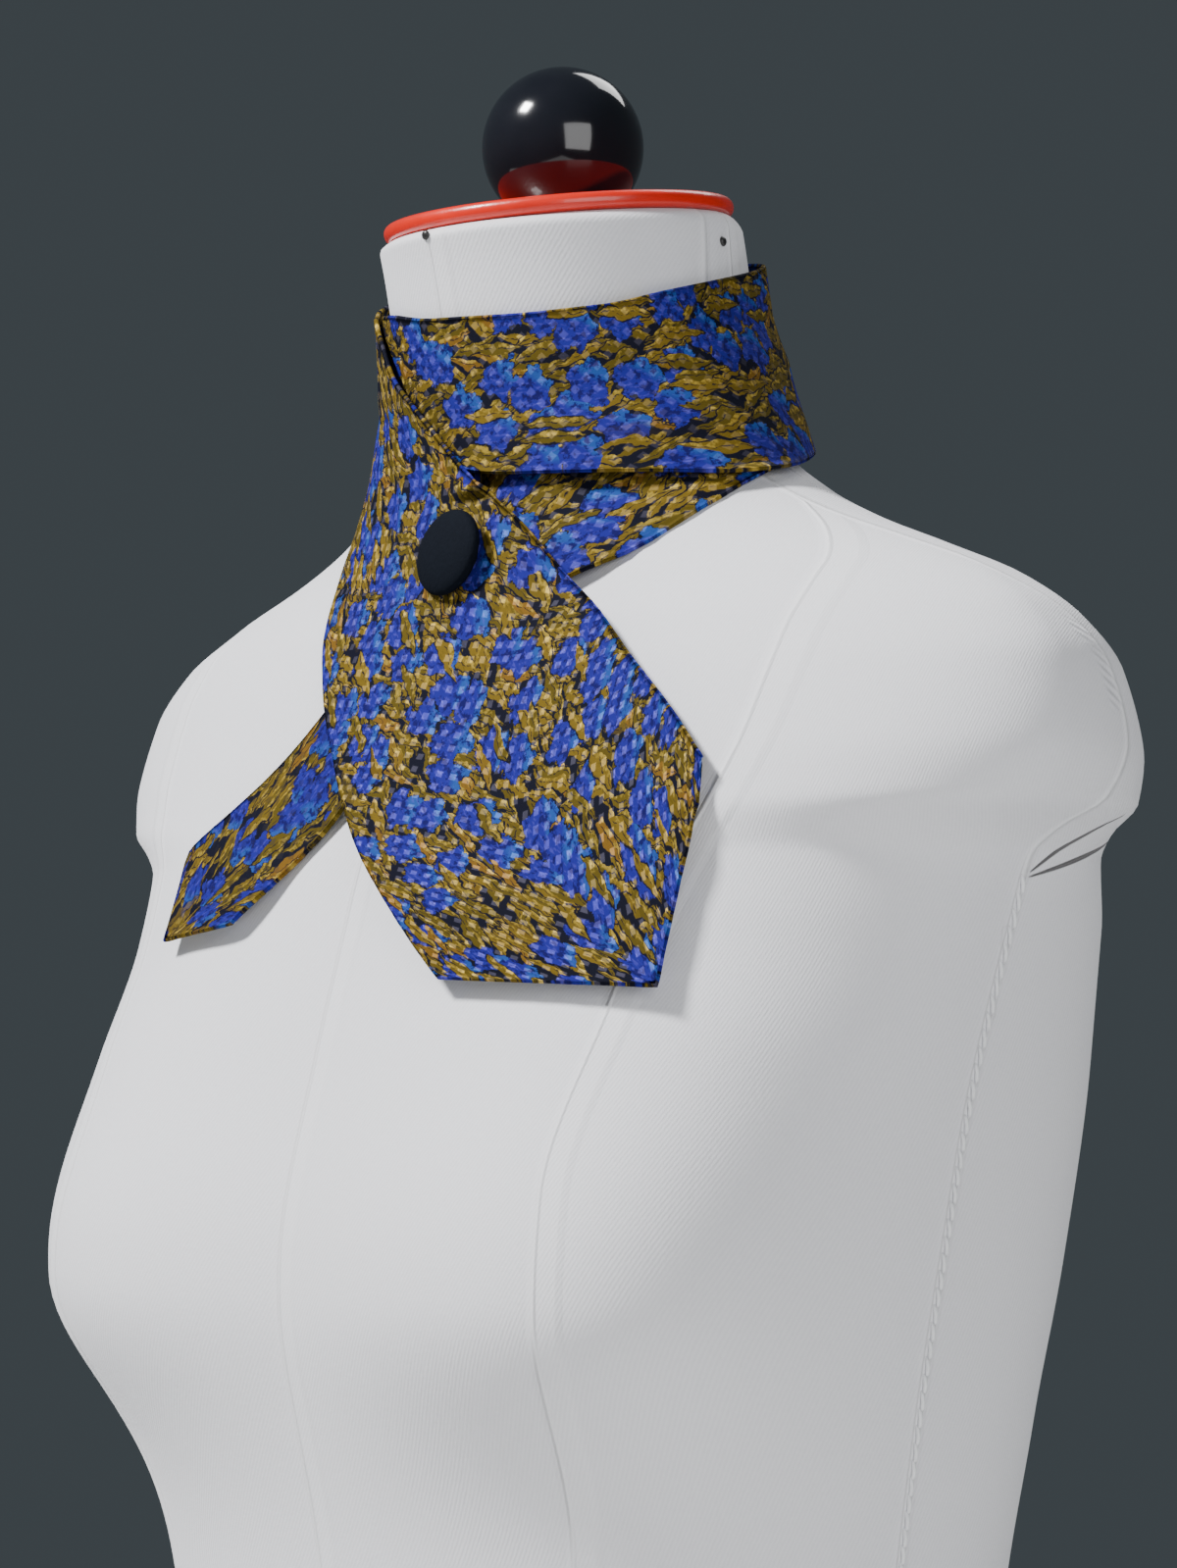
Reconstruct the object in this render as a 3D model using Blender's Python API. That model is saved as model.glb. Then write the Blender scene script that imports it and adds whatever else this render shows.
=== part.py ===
"""A cravat wound twice round the neck of a limbless dress form and buttoned at the throat.

Metres, +Z up. The origin is the middle of the form's flat foot. The form faces -Y, and its left
side is +X. In the tables, turns are degrees about the form, from the front towards its left side.
They run on past 360, for the cravat is one long strip, cut here where other cloth hides the cut.
"""

from bisect import bisect_right
from collections import namedtuple
from math import acos, atan2, cos, degrees, exp, pi, radians, sin, tan

import bpy
from mathutils import Matrix, Vector
from mathutils.bvhtree import BVHTree

# Driving sizes of the cravat: its cloth, the gaps between pieces, and the button's whole height
# with the upright rim that its dome stands on
CLOTH = 0.0020
SEAM_GAP = 0.0003
STRIP_CUT = 0.0005
LAYER_GAP = 0.0007
BUTTON_DIAMETER = 0.0275
BUTTON_HEIGHT = 0.0058
BUTTON_RIM = 0.0022
BUTTON_BACK_SHARE = 0.94

# Driving sizes of the form
NECK_TOP = 0.6345
NECK_RADIUS = 0.0580
NECK_TILT = radians(6.5)
NECK_TILT_START = 0.600
CAP_RADIUS = 0.0562
CAP_THICKNESS = 0.0056
KNOB_RADIUS = 0.0260
KNOB_CENTRE_ABOVE_CAP = 0.0210
KNOB_BEHIND_CAP_CENTRE = 0.0045
TACK_BELOW_TOP = 0.0085
TACK_RADIUS = 0.0016
TACK_STANDS_OUT = 0.0011
TACKS = [("form_tack_front", 0), ("form_tack_side", 100)]

# How finely the solids are divided
FORM_COLUMNS = 60
WRAP_STEP = 5.0
BAND_COLUMNS = 6
BLADE_COLUMNS = 12
BLADE_ROWS = 48
BLADE_TIP_ROWS = 12
TAIL_COLUMNS = 6
TAIL_ROWS = 22
TAIL_TIP_ROWS = 6
TURNED_COLUMNS = 28
CAP_EDGE_STEPS = 6
KNOB_STEPS = 12
KNOB_POLE = radians(6)
TACK_COLUMNS = 8
DOME_STEPS = 5
DOME_FOOT = radians(75)
DOME_POLE = radians(8)
SHARP_FROM = radians(35)

# How the cloth is laid: where rays start, the steepest slope they are trusted on, how often the
# cloth is pulled taut and pushed clear, the spots on each cell that are tested, and how many
# degrees from a cut the cloth lies beside the stretch that it is cut from
RAY_START = 0.5
STEEPEST_FACING = 0.35
TAUT_PASSES = 30
CLEAR_PASSES = 5
CELL_SPOTS = (0, 0.25, 0.5, 0.75, 1)
CUT_REACH = 3.0
# How far each end stands off the form at its point, and the share of its length where that starts
BLADE_LIFT = 0.005
TAIL_LIFT = 0.004
LIFT_STARTS = 0.6
# The spots where the button's flat back is tested against the cloth under it
BUTTON_SPOT_TURNS = 24
BUTTON_SPOT_SHARES = (0, 0.5, 1)

# Horizontal sections of the form, foot to neck: half its width, its depth before and behind the
# section's centre, where that centre is, and how square the section is before and behind.
FormSection = namedtuple(
    "FormSection", "height half_width front back centre_y front_power back_power"
)
FORM_SECTIONS = [
    FormSection(0.000, 0.1760, 0.1120, 0.1220, 0.000, 2.3, 2.4),
    FormSection(0.004, 0.1800, 0.1160, 0.1260, 0.000, 2.3, 2.4),
    FormSection(0.040, 0.1810, 0.1170, 0.1250, 0.000, 2.3, 2.4),
    FormSection(0.085, 0.1670, 0.1130, 0.1150, 0.000, 2.3, 2.5),
    FormSection(0.130, 0.1440, 0.1025, 0.1000, 0.000, 2.3, 2.6),
    FormSection(0.165, 0.1370, 0.0995, 0.0970, 0.000, 2.3, 2.6),
    FormSection(0.210, 0.1420, 0.1040, 0.1010, 0.000, 2.3, 2.6),
    FormSection(0.260, 0.1510, 0.1110, 0.1060, 0.001, 2.3, 2.6),
    FormSection(0.310, 0.1590, 0.1140, 0.1100, 0.003, 2.3, 2.7),
    FormSection(0.370, 0.1670, 0.1060, 0.1130, 0.004, 2.3, 2.8),
    FormSection(0.408, 0.1720, 0.0985, 0.1130, 0.004, 2.2, 2.8),
    FormSection(0.430, 0.1750, 0.0930, 0.1110, 0.004, 2.2, 2.7),
    FormSection(0.438, 0.1830, 0.0900, 0.1090, 0.004, 2.2, 2.6),
    FormSection(0.446, 0.1970, 0.0870, 0.1070, 0.004, 2.1, 2.5),
    FormSection(0.463, 0.2030, 0.0820, 0.1030, 0.004, 2.0, 2.4),
    FormSection(0.485, 0.1995, 0.0750, 0.0975, 0.004, 1.9, 2.3),
    FormSection(0.501, 0.1880, 0.0690, 0.0920, 0.004, 1.8, 2.2),
    FormSection(0.515, 0.1660, 0.0640, 0.0860, 0.006, 1.7, 2.1),
    FormSection(0.526, 0.1380, 0.0605, 0.0800, 0.008, 1.7, 2.0),
    FormSection(0.537, 0.1080, 0.0590, 0.0740, 0.009, 1.8, 2.0),
    FormSection(0.549, 0.0830, 0.0585, 0.0680, 0.009, 1.9, 2.0),
    FormSection(0.562, 0.0660, 0.0580, 0.0630, 0.007, 2.0, 2.0),
    FormSection(0.578, 0.0608, 0.0580, 0.0595, 0.004, 2.0, 2.0),
    FormSection(0.600, 0.0585, NECK_RADIUS, NECK_RADIUS, 0.000, 2.0, 2.0),
    FormSection(0.630, NECK_RADIUS, NECK_RADIUS, NECK_RADIUS, -0.006, 2.0, 2.0),
    FormSection(0.6325, 0.0570, 0.0570, 0.0570, -0.007, 2.0, 2.0),
    FormSection(NECK_TOP, 0.0545, 0.0545, 0.0545, -0.007, 2.0, 2.0),
]
# Heights between which the rings of the form are evenly spaced, and how many there are
RingRun = namedtuple("RingRun", "start end rings")
FORM_RINGS = [
    RingRun(0.000, 0.004, 1),
    RingRun(0.004, 0.240, 8),
    RingRun(0.240, 0.420, 11),
    RingRun(0.420, 0.450, 5),
    RingRun(0.450, 0.578, 15),
    RingRun(0.578, 0.630, 3),
    RingRun(0.630, NECK_TOP, 2),
]

# The bust: its height and turn at the fullest place, how far it rises there, and how it fades away
BUST_HEIGHT = 0.302
BUST_TURN = radians(35)
BUST_RISE = 0.032
BUST_SPREAD_OUT = radians(26)
BUST_SPREAD_IN = radians(34)
BUST_FADE_UP = 0.090
BUST_FADE_DOWN = 0.046

# The strip where it circles the neck: the heights of its lower and upper edges at each turn
BandSection = namedtuple("BandSection", "turn lower upper")
LOWER_WRAP = [
    BandSection(12, 0.4890, 0.5580),
    BandSection(25, 0.5010, 0.5600),
    BandSection(45, 0.5160, 0.5650),
    BandSection(59, 0.5245, 0.5730),
    BandSection(72, 0.5370, 0.5830),
    BandSection(86, 0.5480, 0.5930),
    BandSection(105, 0.5570, 0.6020),
    BandSection(140, 0.5660, 0.6110),
    BandSection(180, 0.5730, 0.6180),
    BandSection(240, 0.5720, 0.6180),
    BandSection(290, 0.5640, 0.6110),
    BandSection(336, 0.5560, 0.6040),
]
UPPER_WRAP = [
    BandSection(336, 0.5560, 0.6040),
    BandSection(360, 0.5540, 0.5995),
    BandSection(385, 0.5500, 0.5985),
    BandSection(413, 0.5488, 0.6010),
    BandSection(435, 0.5486, 0.6070),
    BandSection(449, 0.5510, 0.6110),
    BandSection(472, 0.5580, 0.6175),
    BandSection(490, 0.5640, 0.6230),
    BandSection(510, 0.5690, 0.6270),
    BandSection(548, 0.5760, 0.6310),
    BandSection(588, 0.5770, 0.6310),
]

# The front blade, from where the upper wrap ends to its point. Its upper edge becomes its left one.
BladeSection = namedtuple("BladeSection", "upper_turn upper_height lower_turn lower_height")
BLADE = [
    BladeSection(588, 0.6310, 588, 0.5770),
    BladeSection(620, 0.6262, 612, 0.5700),
    BladeSection(645, 0.6200, 632, 0.5620),
    BladeSection(668, 0.6110, 648, 0.5530),
    BladeSection(686, 0.5990, 659, 0.5410),
    BladeSection(698, 0.5840, 666, 0.5300),
    BladeSection(710, 0.5735, 672, 0.5190),
    BladeSection(721, 0.5635, 677, 0.5110),
    BladeSection(732, 0.5525, 682, 0.5030),
    BladeSection(746, 0.5397, 690, 0.4920),
    BladeSection(753, 0.5328, 698, 0.4800),
    BladeSection(763.5, 0.5160, 708, 0.4640),
    BladeSection(769.5, 0.5040, 716, 0.4515),
    BladeSection(774, 0.4885, 725, 0.4360),
    BladeSection(778, 0.4725, 735, 0.4190),
    BladeSection(781, 0.4545, 747, 0.3940),
]

# The middle of the point, past the last row
Place = namedtuple("Place", "turn height")
BLADE_TIP = Place(774.5, 0.3915)

# The tail, from where the lower wrap begins to its point
TAIL = [
    BladeSection(12, 0.5580, 12, 0.4890),
    BladeSection(0, 0.5310, 4, 0.4730),
    BladeSection(-12, 0.5020, -4, 0.4560),
    BladeSection(-25, 0.4785, -12, 0.4400),
    BladeSection(-33, 0.4615, -17.5, 0.4295),
    BladeSection(-39, 0.4475, -21.5, 0.4205),
    BladeSection(-45, 0.4360, -25.5, 0.4120),
]
TAIL_TIP = Place(-41, 0.4080)
# Where the button's middle is, and the turn it is drawn round to face
BUTTON_PLACE = Place(16, 0.5235)
BUTTON_FACES = -2
NumberedSection = namedtuple("NumberedSection", ("number",) + BladeSection._fields)


def read_rows(rows, at):
    """A table's row at any value of its first column, on one smooth curve through its rows."""
    keys = [row[0] for row in rows]
    at = min(max(at, keys[0]), keys[-1])
    i = min(bisect_right(keys, at) - 1, len(rows) - 2)
    span = keys[i + 1] - keys[i]
    t = (at - keys[i]) / span

    def step(k, column):
        return (rows[k + 1][column] - rows[k][column]) / (keys[k + 1] - keys[k])

    def slope(k, column):
        if k == 0 or k == len(rows) - 1:
            return step(min(k, len(rows) - 2), column)
        before = step(k - 1, column)
        after = step(k, column)
        return 0.0 if before * after <= 0 else 2 * before * after / (before + after)

    values = [at]
    for column in range(1, len(rows[0])):
        here, there = rows[i][column], rows[i + 1][column]
        values.append(
            here * (1 + 2 * t) * (1 - t) ** 2
            + there * t * t * (3 - 2 * t)
            + span * slope(i, column) * t * (1 - t) ** 2
            - span * slope(i + 1, column) * t * t * (1 - t)
        )
    return type(rows[0])(*values)


def form_point(height, turn):
    """The form's surface at one height of its table and one turn in radians."""
    section = read_rows(FORM_SECTIONS, height)
    across, ahead = sin(turn), cos(turn)
    depth, power = section.front, section.front_power
    if ahead < 0:
        depth, power = section.back, section.back_power
    x = section.half_width * abs(across) ** (2 / power) * (1 if across > 0 else -1)
    y = -depth * abs(ahead) ** (2 / power) * (1 if ahead > 0 else -1)

    from_bust = height - BUST_HEIGHT
    fade = BUST_FADE_UP if from_bust > 0 else BUST_FADE_DOWN
    off_apex = abs(atan2(across, ahead)) - BUST_TURN
    spread_by = BUST_SPREAD_OUT if off_apex > 0 else BUST_SPREAD_IN
    rise = BUST_RISE * exp(-((off_apex / spread_by) ** 2) - (from_bust / fade) ** 2)

    lean = NECK_TILT * min(max((height - NECK_TILT_START) / (NECK_TOP - NECK_TILT_START), 0), 1)
    return Vector((
        x + rise * across,
        section.centre_y + y - rise * ahead,
        height + tan(lean) * y,
    ))


def tube_faces(rings, columns):
    """Faces of a stack of closed rings, foot first, with a flat face on each end."""
    faces = [list(range(columns))[::-1]]
    for ring in range(rings - 1):
        for column in range(columns):
            here = ring * columns + column
            beside = ring * columns + (column + 1) % columns
            faces.append([here, beside, beside + columns, here + columns])
    faces.append(list(range((rings - 1) * columns, rings * columns)))
    return faces


def turned_shape(profile, columns):
    """Points and faces of a solid turned about Z from (radius, height) pairs, foot first."""
    points = []
    for radius, height in profile:
        for column in range(columns):
            turn = 2 * pi * column / columns
            points.append(Vector((radius * cos(turn), radius * sin(turn), height)))
    return points, tube_faces(len(profile), columns)


def wall_shape(inner, thickness, cuts):
    """A closed wall on a grid of points: the grid itself and a copy moved out along its normals.

    A cut is a first or last row that lies on one turn, where the wall's end is square to the strip.
    """
    rows, columns = len(inner), len(inner[0])
    outer = []
    for i in range(rows):
        for j in range(columns):
            along = inner[min(i + 1, rows - 1)][j] - inner[max(i - 1, 0)][j]
            across = inner[i][min(j + 1, columns - 1)] - inner[i][max(j - 1, 0)]
            normal = along.cross(across)
            if i in cuts:
                beside = outward(cuts[i] + 90)
                normal -= beside * normal.dot(beside)
            outer.append(inner[i][j] + normal.normalized() * thickness)
    points = [point for row in inner for point in row] + outer
    count = rows * columns

    faces = []
    for i in range(rows - 1):
        for j in range(columns - 1):
            a, b = i * columns + j, (i + 1) * columns + j
            faces.append([a, a + 1, b + 1, b])
            faces.append([count + a, count + b, count + b + 1, count + a + 1])
    rim = list(range(columns))
    rim += [i * columns + columns - 1 for i in range(1, rows)]
    rim += [(rows - 1) * columns + j for j in reversed(range(columns - 1))]
    rim += [i * columns for i in reversed(range(1, rows - 1))]
    for here, beside in zip(rim, rim[1:] + rim[:1]):
        faces.append([beside, here, count + here, count + beside])
    return points, faces


def spread(start, end, count):
    """Evenly spaced values from start to end, both included."""
    return [start + (end - start) * k / count for k in range(count + 1)]


def plain_wrap(rows, step, columns):
    """Turns and heights of a grid along a wrap, from its lower edge to its upper one."""
    start, end = rows[0].turn, rows[-1].turn
    grid = []
    for turn in spread(start, end, round((end - start) / step)):
        section = read_rows(rows, turn)
        grid.append([(turn, height) for height in spread(section.lower, section.upper, columns)])
    return grid


def pointed_end(rows, tip, tip_rows, row_count, columns):
    """Turns and heights of a grid along a stretch that ends in a point, lower edge to upper one."""
    numbered = [NumberedSection(number, *row) for number, row in enumerate(rows)]
    last = rows[-1]
    middle_turn = (last.upper_turn + last.lower_turn) / 2
    middle_height = (last.upper_height + last.lower_height) / 2
    grid = []
    for row, number in enumerate(spread(0, len(rows) - 1, row_count)):
        section = read_rows(numbered, number)
        drawn = max(row - (row_count - tip_rows), 0) / tip_rows
        line = []
        for across in spread(0, 1, columns):
            reach = (1 - abs(2 * across - 1)) * drawn
            turn = section.lower_turn + (section.upper_turn - section.lower_turn) * across
            height = section.lower_height + (section.upper_height - section.lower_height) * across
            turn += (tip.turn - middle_turn) * reach
            height += (tip.height - middle_height) * reach
            line.append((turn, height))
        grid.append(line)
    return grid


def outward(turn):
    return Vector((sin(radians(turn)), -cos(radians(turn)), 0))


def first_hit(trees, turn, height):
    """Where a level ray from outside first meets what is built so far, and the face's normal."""
    start = outward(turn) * RAY_START + Vector((0, 0, height))
    hits = [tree.ray_cast(start, -outward(turn)) for tree in trees]
    hits = [hit for hit in hits if hit[0] is not None]
    nearest = min(hits, key=lambda hit: hit[3])
    return nearest[0], nearest[1]


def pull_taut(radii, needed):
    """Let each radius sink towards its neighbours' mean, but never below what it must clear."""
    rows, columns = len(radii), len(radii[0])
    for _ in range(TAUT_PASSES):
        before = [row[:] for row in radii]
        for i in range(1, rows - 1):
            for j in range(columns):
                mean = (before[i - 1][j] + before[i + 1][j]) / 2
                if 0 < j < columns - 1:
                    mean = (mean + (before[i][j - 1] + before[i][j + 1]) / 2) / 2
                radii[i][j] = max(needed[i][j], mean)


def needed_radius(trees, turn, height):
    """How far out the cloth has to lie to clear what is under it by the layer gap."""
    place, normal = first_hit(trees, turn, height)
    facing = max(normal.dot(outward(turn)), STEEPEST_FACING)
    return place.dot(outward(turn)) + LAYER_GAP / facing


def cell_spots(grid, needed_at):
    """Spots all over each cell of a grid: the cell's corners, their shares, and the radius needed."""
    spots = []
    for i in range(len(grid) - 1):
        for j in range(len(grid[0]) - 1):
            corners = [(i, j), (i + 1, j), (i, j + 1), (i + 1, j + 1)]
            for u in CELL_SPOTS:
                for v in CELL_SPOTS:
                    shares = [(1 - u) * (1 - v), u * (1 - v), (1 - u) * v, u * v]
                    turn = sum(grid[a][b][0] * share for (a, b), share in zip(corners, shares))
                    height = sum(grid[a][b][1] * share for (a, b), share in zip(corners, shares))
                    spots.append((corners, shares, needed_at(turn, height)))
    return spots


def raise_clear(radii, spots):
    """Raise the corners of each cell until no spot on it lies too near what is under it."""
    for _ in range(CLEAR_PASSES):
        for corners, shares, needed in spots:
            radius = sum(radii[i][j] * share for (i, j), share in zip(corners, shares))
            if radius < needed:
                weight = sum(share * share for share in shares)
                for (i, j), share in zip(corners, shares):
                    radii[i][j] += (needed - radius) * share / weight


def laid_cloth(grid, trees, joined, lift):
    """The inner points of cloth laid over what is built, its last rows lifted off by a little.

    Close to the cut where it goes on from the stretch it is joined to, it lies beside that one.
    """
    cut = grid[0][0][0]

    def needed_at(turn, height):
        beside = abs(turn - cut) < CUT_REACH
        return needed_radius([tree for tree in trees if not (beside and tree is joined)], turn, height)

    needed = [[needed_at(turn, height) for turn, height in line] for line in grid]
    radii = [row[:] for row in needed]
    pull_taut(radii, needed)
    raise_clear(radii, cell_spots(grid, needed_at))

    points = []
    for i, line in enumerate(grid):
        late = max(i / (len(grid) - 1) - LIFT_STARTS, 0) / (1 - LIFT_STARTS)
        raised = lift * late * late * (3 - 2 * late)
        points.append([
            outward(turn) * (radii[i][j] + raised) + Vector((0, 0, height))
            for j, (turn, height) in enumerate(line)
        ])
    return points


def make_material(name, colour, roughness):
    material = bpy.data.materials.new(name)
    material.use_nodes = True
    shader = material.node_tree.nodes["Principled BSDF"]
    shader.inputs["Base Color"].default_value = (*colour, 1)
    shader.inputs["Roughness"].default_value = roughness
    shader.inputs["Metallic"].default_value = 0
    return material


def make_object(name, shape, material, matrix=Matrix.Identity(4)):
    """One closed body in the scene, placed by its matrix, and its tree for the cloth to clear."""
    points, faces = shape
    mesh = bpy.data.meshes.new(name)
    mesh.from_pydata(points, [], faces)
    mesh.materials.append(material)
    mesh.shade_smooth()
    mesh.set_sharp_from_angle(angle=SHARP_FROM)
    piece = bpy.data.objects.new(name, mesh)
    piece.matrix_world = matrix
    bpy.context.scene.collection.objects.link(piece)
    return BVHTree.FromPolygons([matrix @ point for point in points], faces)


def build_form():
    heights = [FORM_RINGS[0].start]
    for run in FORM_RINGS:
        heights += spread(run.start, run.end, run.rings)[1:]
    turns = [2 * pi * column / FORM_COLUMNS for column in range(FORM_COLUMNS)]
    points = [form_point(height, turn) for height in heights for turn in turns]
    twill = make_material("form_twill", (0.80, 0.80, 0.82), 0.85)
    return make_object("form_torso", (points, tube_faces(len(heights), FORM_COLUMNS)), twill)


def neck_top_frame(behind):
    """A matrix that stands a turned piece on the neck's tilted top, a little behind its middle."""
    centre = Matrix.Translation((0, FORM_SECTIONS[-1].centre_y, NECK_TOP + SEAM_GAP))
    return centre @ Matrix.Rotation(NECK_TILT, 4, "X") @ Matrix.Translation((0, behind, 0))


def build_neck_cap():
    half = CAP_THICKNESS / 2
    profile = [
        (CAP_RADIUS - half + half * sin(turn), half + half * cos(turn))
        for turn in spread(pi, 0, CAP_EDGE_STEPS)
    ]
    paint = make_material("cap_paint", (0.80, 0.08, 0.03), 0.35)
    make_object("form_neck_cap", turned_shape(profile, FORM_COLUMNS), paint, neck_top_frame(0))


def build_knob():
    foot = CAP_THICKNESS + SEAM_GAP
    centre = CAP_THICKNESS + KNOB_CENTRE_ABOVE_CAP
    lowest = acos((foot - centre) / KNOB_RADIUS)
    profile = [
        (KNOB_RADIUS * sin(turn), centre + KNOB_RADIUS * cos(turn))
        for turn in spread(lowest, KNOB_POLE, KNOB_STEPS)
    ]
    lacquer = make_material("knob_lacquer", (0.008, 0.009, 0.012), 0.12)
    stand = neck_top_frame(KNOB_BEHIND_CAP_CENTRE)
    make_object("form_knob", turned_shape(profile, TURNED_COLUMNS), lacquer, stand)


def facing_matrix(normal):
    """A turn that carries +Z to a normal."""
    return normal.to_track_quat("Z", "Y").to_matrix().to_4x4()


def build_tacks(form):
    black = make_material("tack_black", (0.02, 0.02, 0.02), 0.4)
    shoulder = TACK_STANDS_OUT / 2
    profile = [(TACK_RADIUS, 0), (TACK_RADIUS, shoulder), (TACK_RADIUS / 2, TACK_STANDS_OUT)]
    for name, turn in TACKS:
        place, normal = first_hit([form], turn, NECK_TOP - TACK_BELOW_TOP)
        stand = Matrix.Translation(place + normal * SEAM_GAP) @ facing_matrix(normal)
        make_object(name, turned_shape(profile, TACK_COLUMNS), black, stand)


def button_standing(place, normal, stand, trees):
    """How far above its place the button's flat back has to stand to clear the cloth under it."""
    radius = BUTTON_DIAMETER / 2
    standing = 0
    for turn in spread(0, 2 * pi, BUTTON_SPOT_TURNS):
        for share in BUTTON_SPOT_SHARES:
            spot = place + stand @ Vector((cos(turn), sin(turn), 0)) * radius * share
            hits = [tree.ray_cast(spot + normal * radius, -normal) for tree in trees]
            for hit in hits:
                if hit[0] is not None:
                    standing = max(standing, radius - hit[3])
    return standing


def build_button(trees):
    """The covered button: its flat back just clears the curve of the blade under it."""
    place, normal = first_hit(trees, BUTTON_PLACE.turn, BUTTON_PLACE.height)
    normal = (normal + outward(BUTTON_FACES)).normalized()
    stand = facing_matrix(normal)
    standing = button_standing(place, normal, stand, trees)
    radius = BUTTON_DIAMETER / 2
    dome = BUTTON_HEIGHT - BUTTON_RIM
    profile = [(radius * BUTTON_BACK_SHARE, 0), (radius, BUTTON_RIM / 2), (radius, BUTTON_RIM)]
    profile += [
        (radius * sin(turn), BUTTON_RIM + dome * cos(turn))
        for turn in spread(DOME_FOOT, DOME_POLE, DOME_STEPS)
    ]
    back = Matrix.Translation(place + normal * (standing + SEAM_GAP))
    cover = make_material("button_cloth", (0.008, 0.010, 0.018), 0.7)
    make_object("cravat_button", turned_shape(profile, TURNED_COLUMNS), cover, back @ stand)


def build_cravat(form):
    silk = make_material("printed_silk", (0.07, 0.08, 0.28), 0.5)
    cut_turn = degrees(STRIP_CUT / NECK_RADIUS)
    built = [form]

    def lay(name, grid, joined=None, lift=0, past_cut=0, pointed=True):
        """Add one stretch; past_cut is +1 or -1 where it runs on from the one it is joined to."""
        start = grid[0][0][0] + past_cut * cut_turn
        grid[0] = [(start, height) for turn, height in grid[0]]
        inner = laid_cloth(grid, built, joined, lift)
        cuts = {0: start} if pointed else {0: start, len(grid) - 1: grid[-1][0][0]}
        if past_cut < 0:
            inner = inner[::-1]
            cuts = {len(grid) - 1: start}
        built.append(make_object(name, wall_shape(inner, CLOTH, cuts), silk))
        return built[-1]

    lower = plain_wrap(LOWER_WRAP, WRAP_STEP, BAND_COLUMNS)
    lower_wrap = lay("cravat_lower_wrap", lower, pointed=False)
    tail = pointed_end(TAIL, TAIL_TIP, TAIL_TIP_ROWS, TAIL_ROWS, TAIL_COLUMNS)
    lay("cravat_tail", tail, lower_wrap, TAIL_LIFT, past_cut=-1)
    upper = plain_wrap(UPPER_WRAP, WRAP_STEP, BAND_COLUMNS)
    upper_wrap = lay("cravat_upper_wrap", upper, lower_wrap, past_cut=1, pointed=False)
    blade = pointed_end(BLADE, BLADE_TIP, BLADE_TIP_ROWS, BLADE_ROWS, BLADE_COLUMNS)
    lay("cravat_front_blade", blade, upper_wrap, BLADE_LIFT, past_cut=1)
    build_button(built)


for leftover in list(bpy.data.objects):
    bpy.data.objects.remove(leftover)
form_tree = build_form()
build_neck_cap()
build_knob()
build_tacks(form_tree)
build_cravat(form_tree)
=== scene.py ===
from bisect import bisect_right
from collections import namedtuple
from math import atan2, cos, degrees, exp, hypot, pi, radians, sin, sqrt, tan

import bpy
from mathutils import Matrix, Vector
from mathutils.bvhtree import BVHTree


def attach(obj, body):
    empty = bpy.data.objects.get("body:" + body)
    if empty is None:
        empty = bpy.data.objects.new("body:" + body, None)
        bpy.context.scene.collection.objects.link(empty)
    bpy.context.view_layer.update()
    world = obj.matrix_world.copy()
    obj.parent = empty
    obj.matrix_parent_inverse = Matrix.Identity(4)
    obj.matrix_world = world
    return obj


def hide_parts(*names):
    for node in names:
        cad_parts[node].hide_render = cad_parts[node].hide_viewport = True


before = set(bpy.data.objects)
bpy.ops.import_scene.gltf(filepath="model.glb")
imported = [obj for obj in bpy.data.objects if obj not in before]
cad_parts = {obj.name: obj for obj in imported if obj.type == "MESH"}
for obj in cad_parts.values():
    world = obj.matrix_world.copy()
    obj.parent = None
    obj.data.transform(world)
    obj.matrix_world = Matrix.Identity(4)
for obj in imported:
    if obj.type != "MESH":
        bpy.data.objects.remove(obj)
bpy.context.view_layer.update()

# The form's body: a padded shell covered in a plain white cotton twill, which is cut in panels and
# sewn at the centre front, over the bust, on the shoulders and at the sides. It is smooth all over
# and stands on its flat foot. The table is the solid's own: sections from the foot to the neck.
NECK_TOP = 0.6345
NECK_TILT = radians(6.5)
NECK_TILT_START = 0.600
FormSection = namedtuple(
    "FormSection", "height half_width front back centre_y front_power back_power"
)
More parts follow.
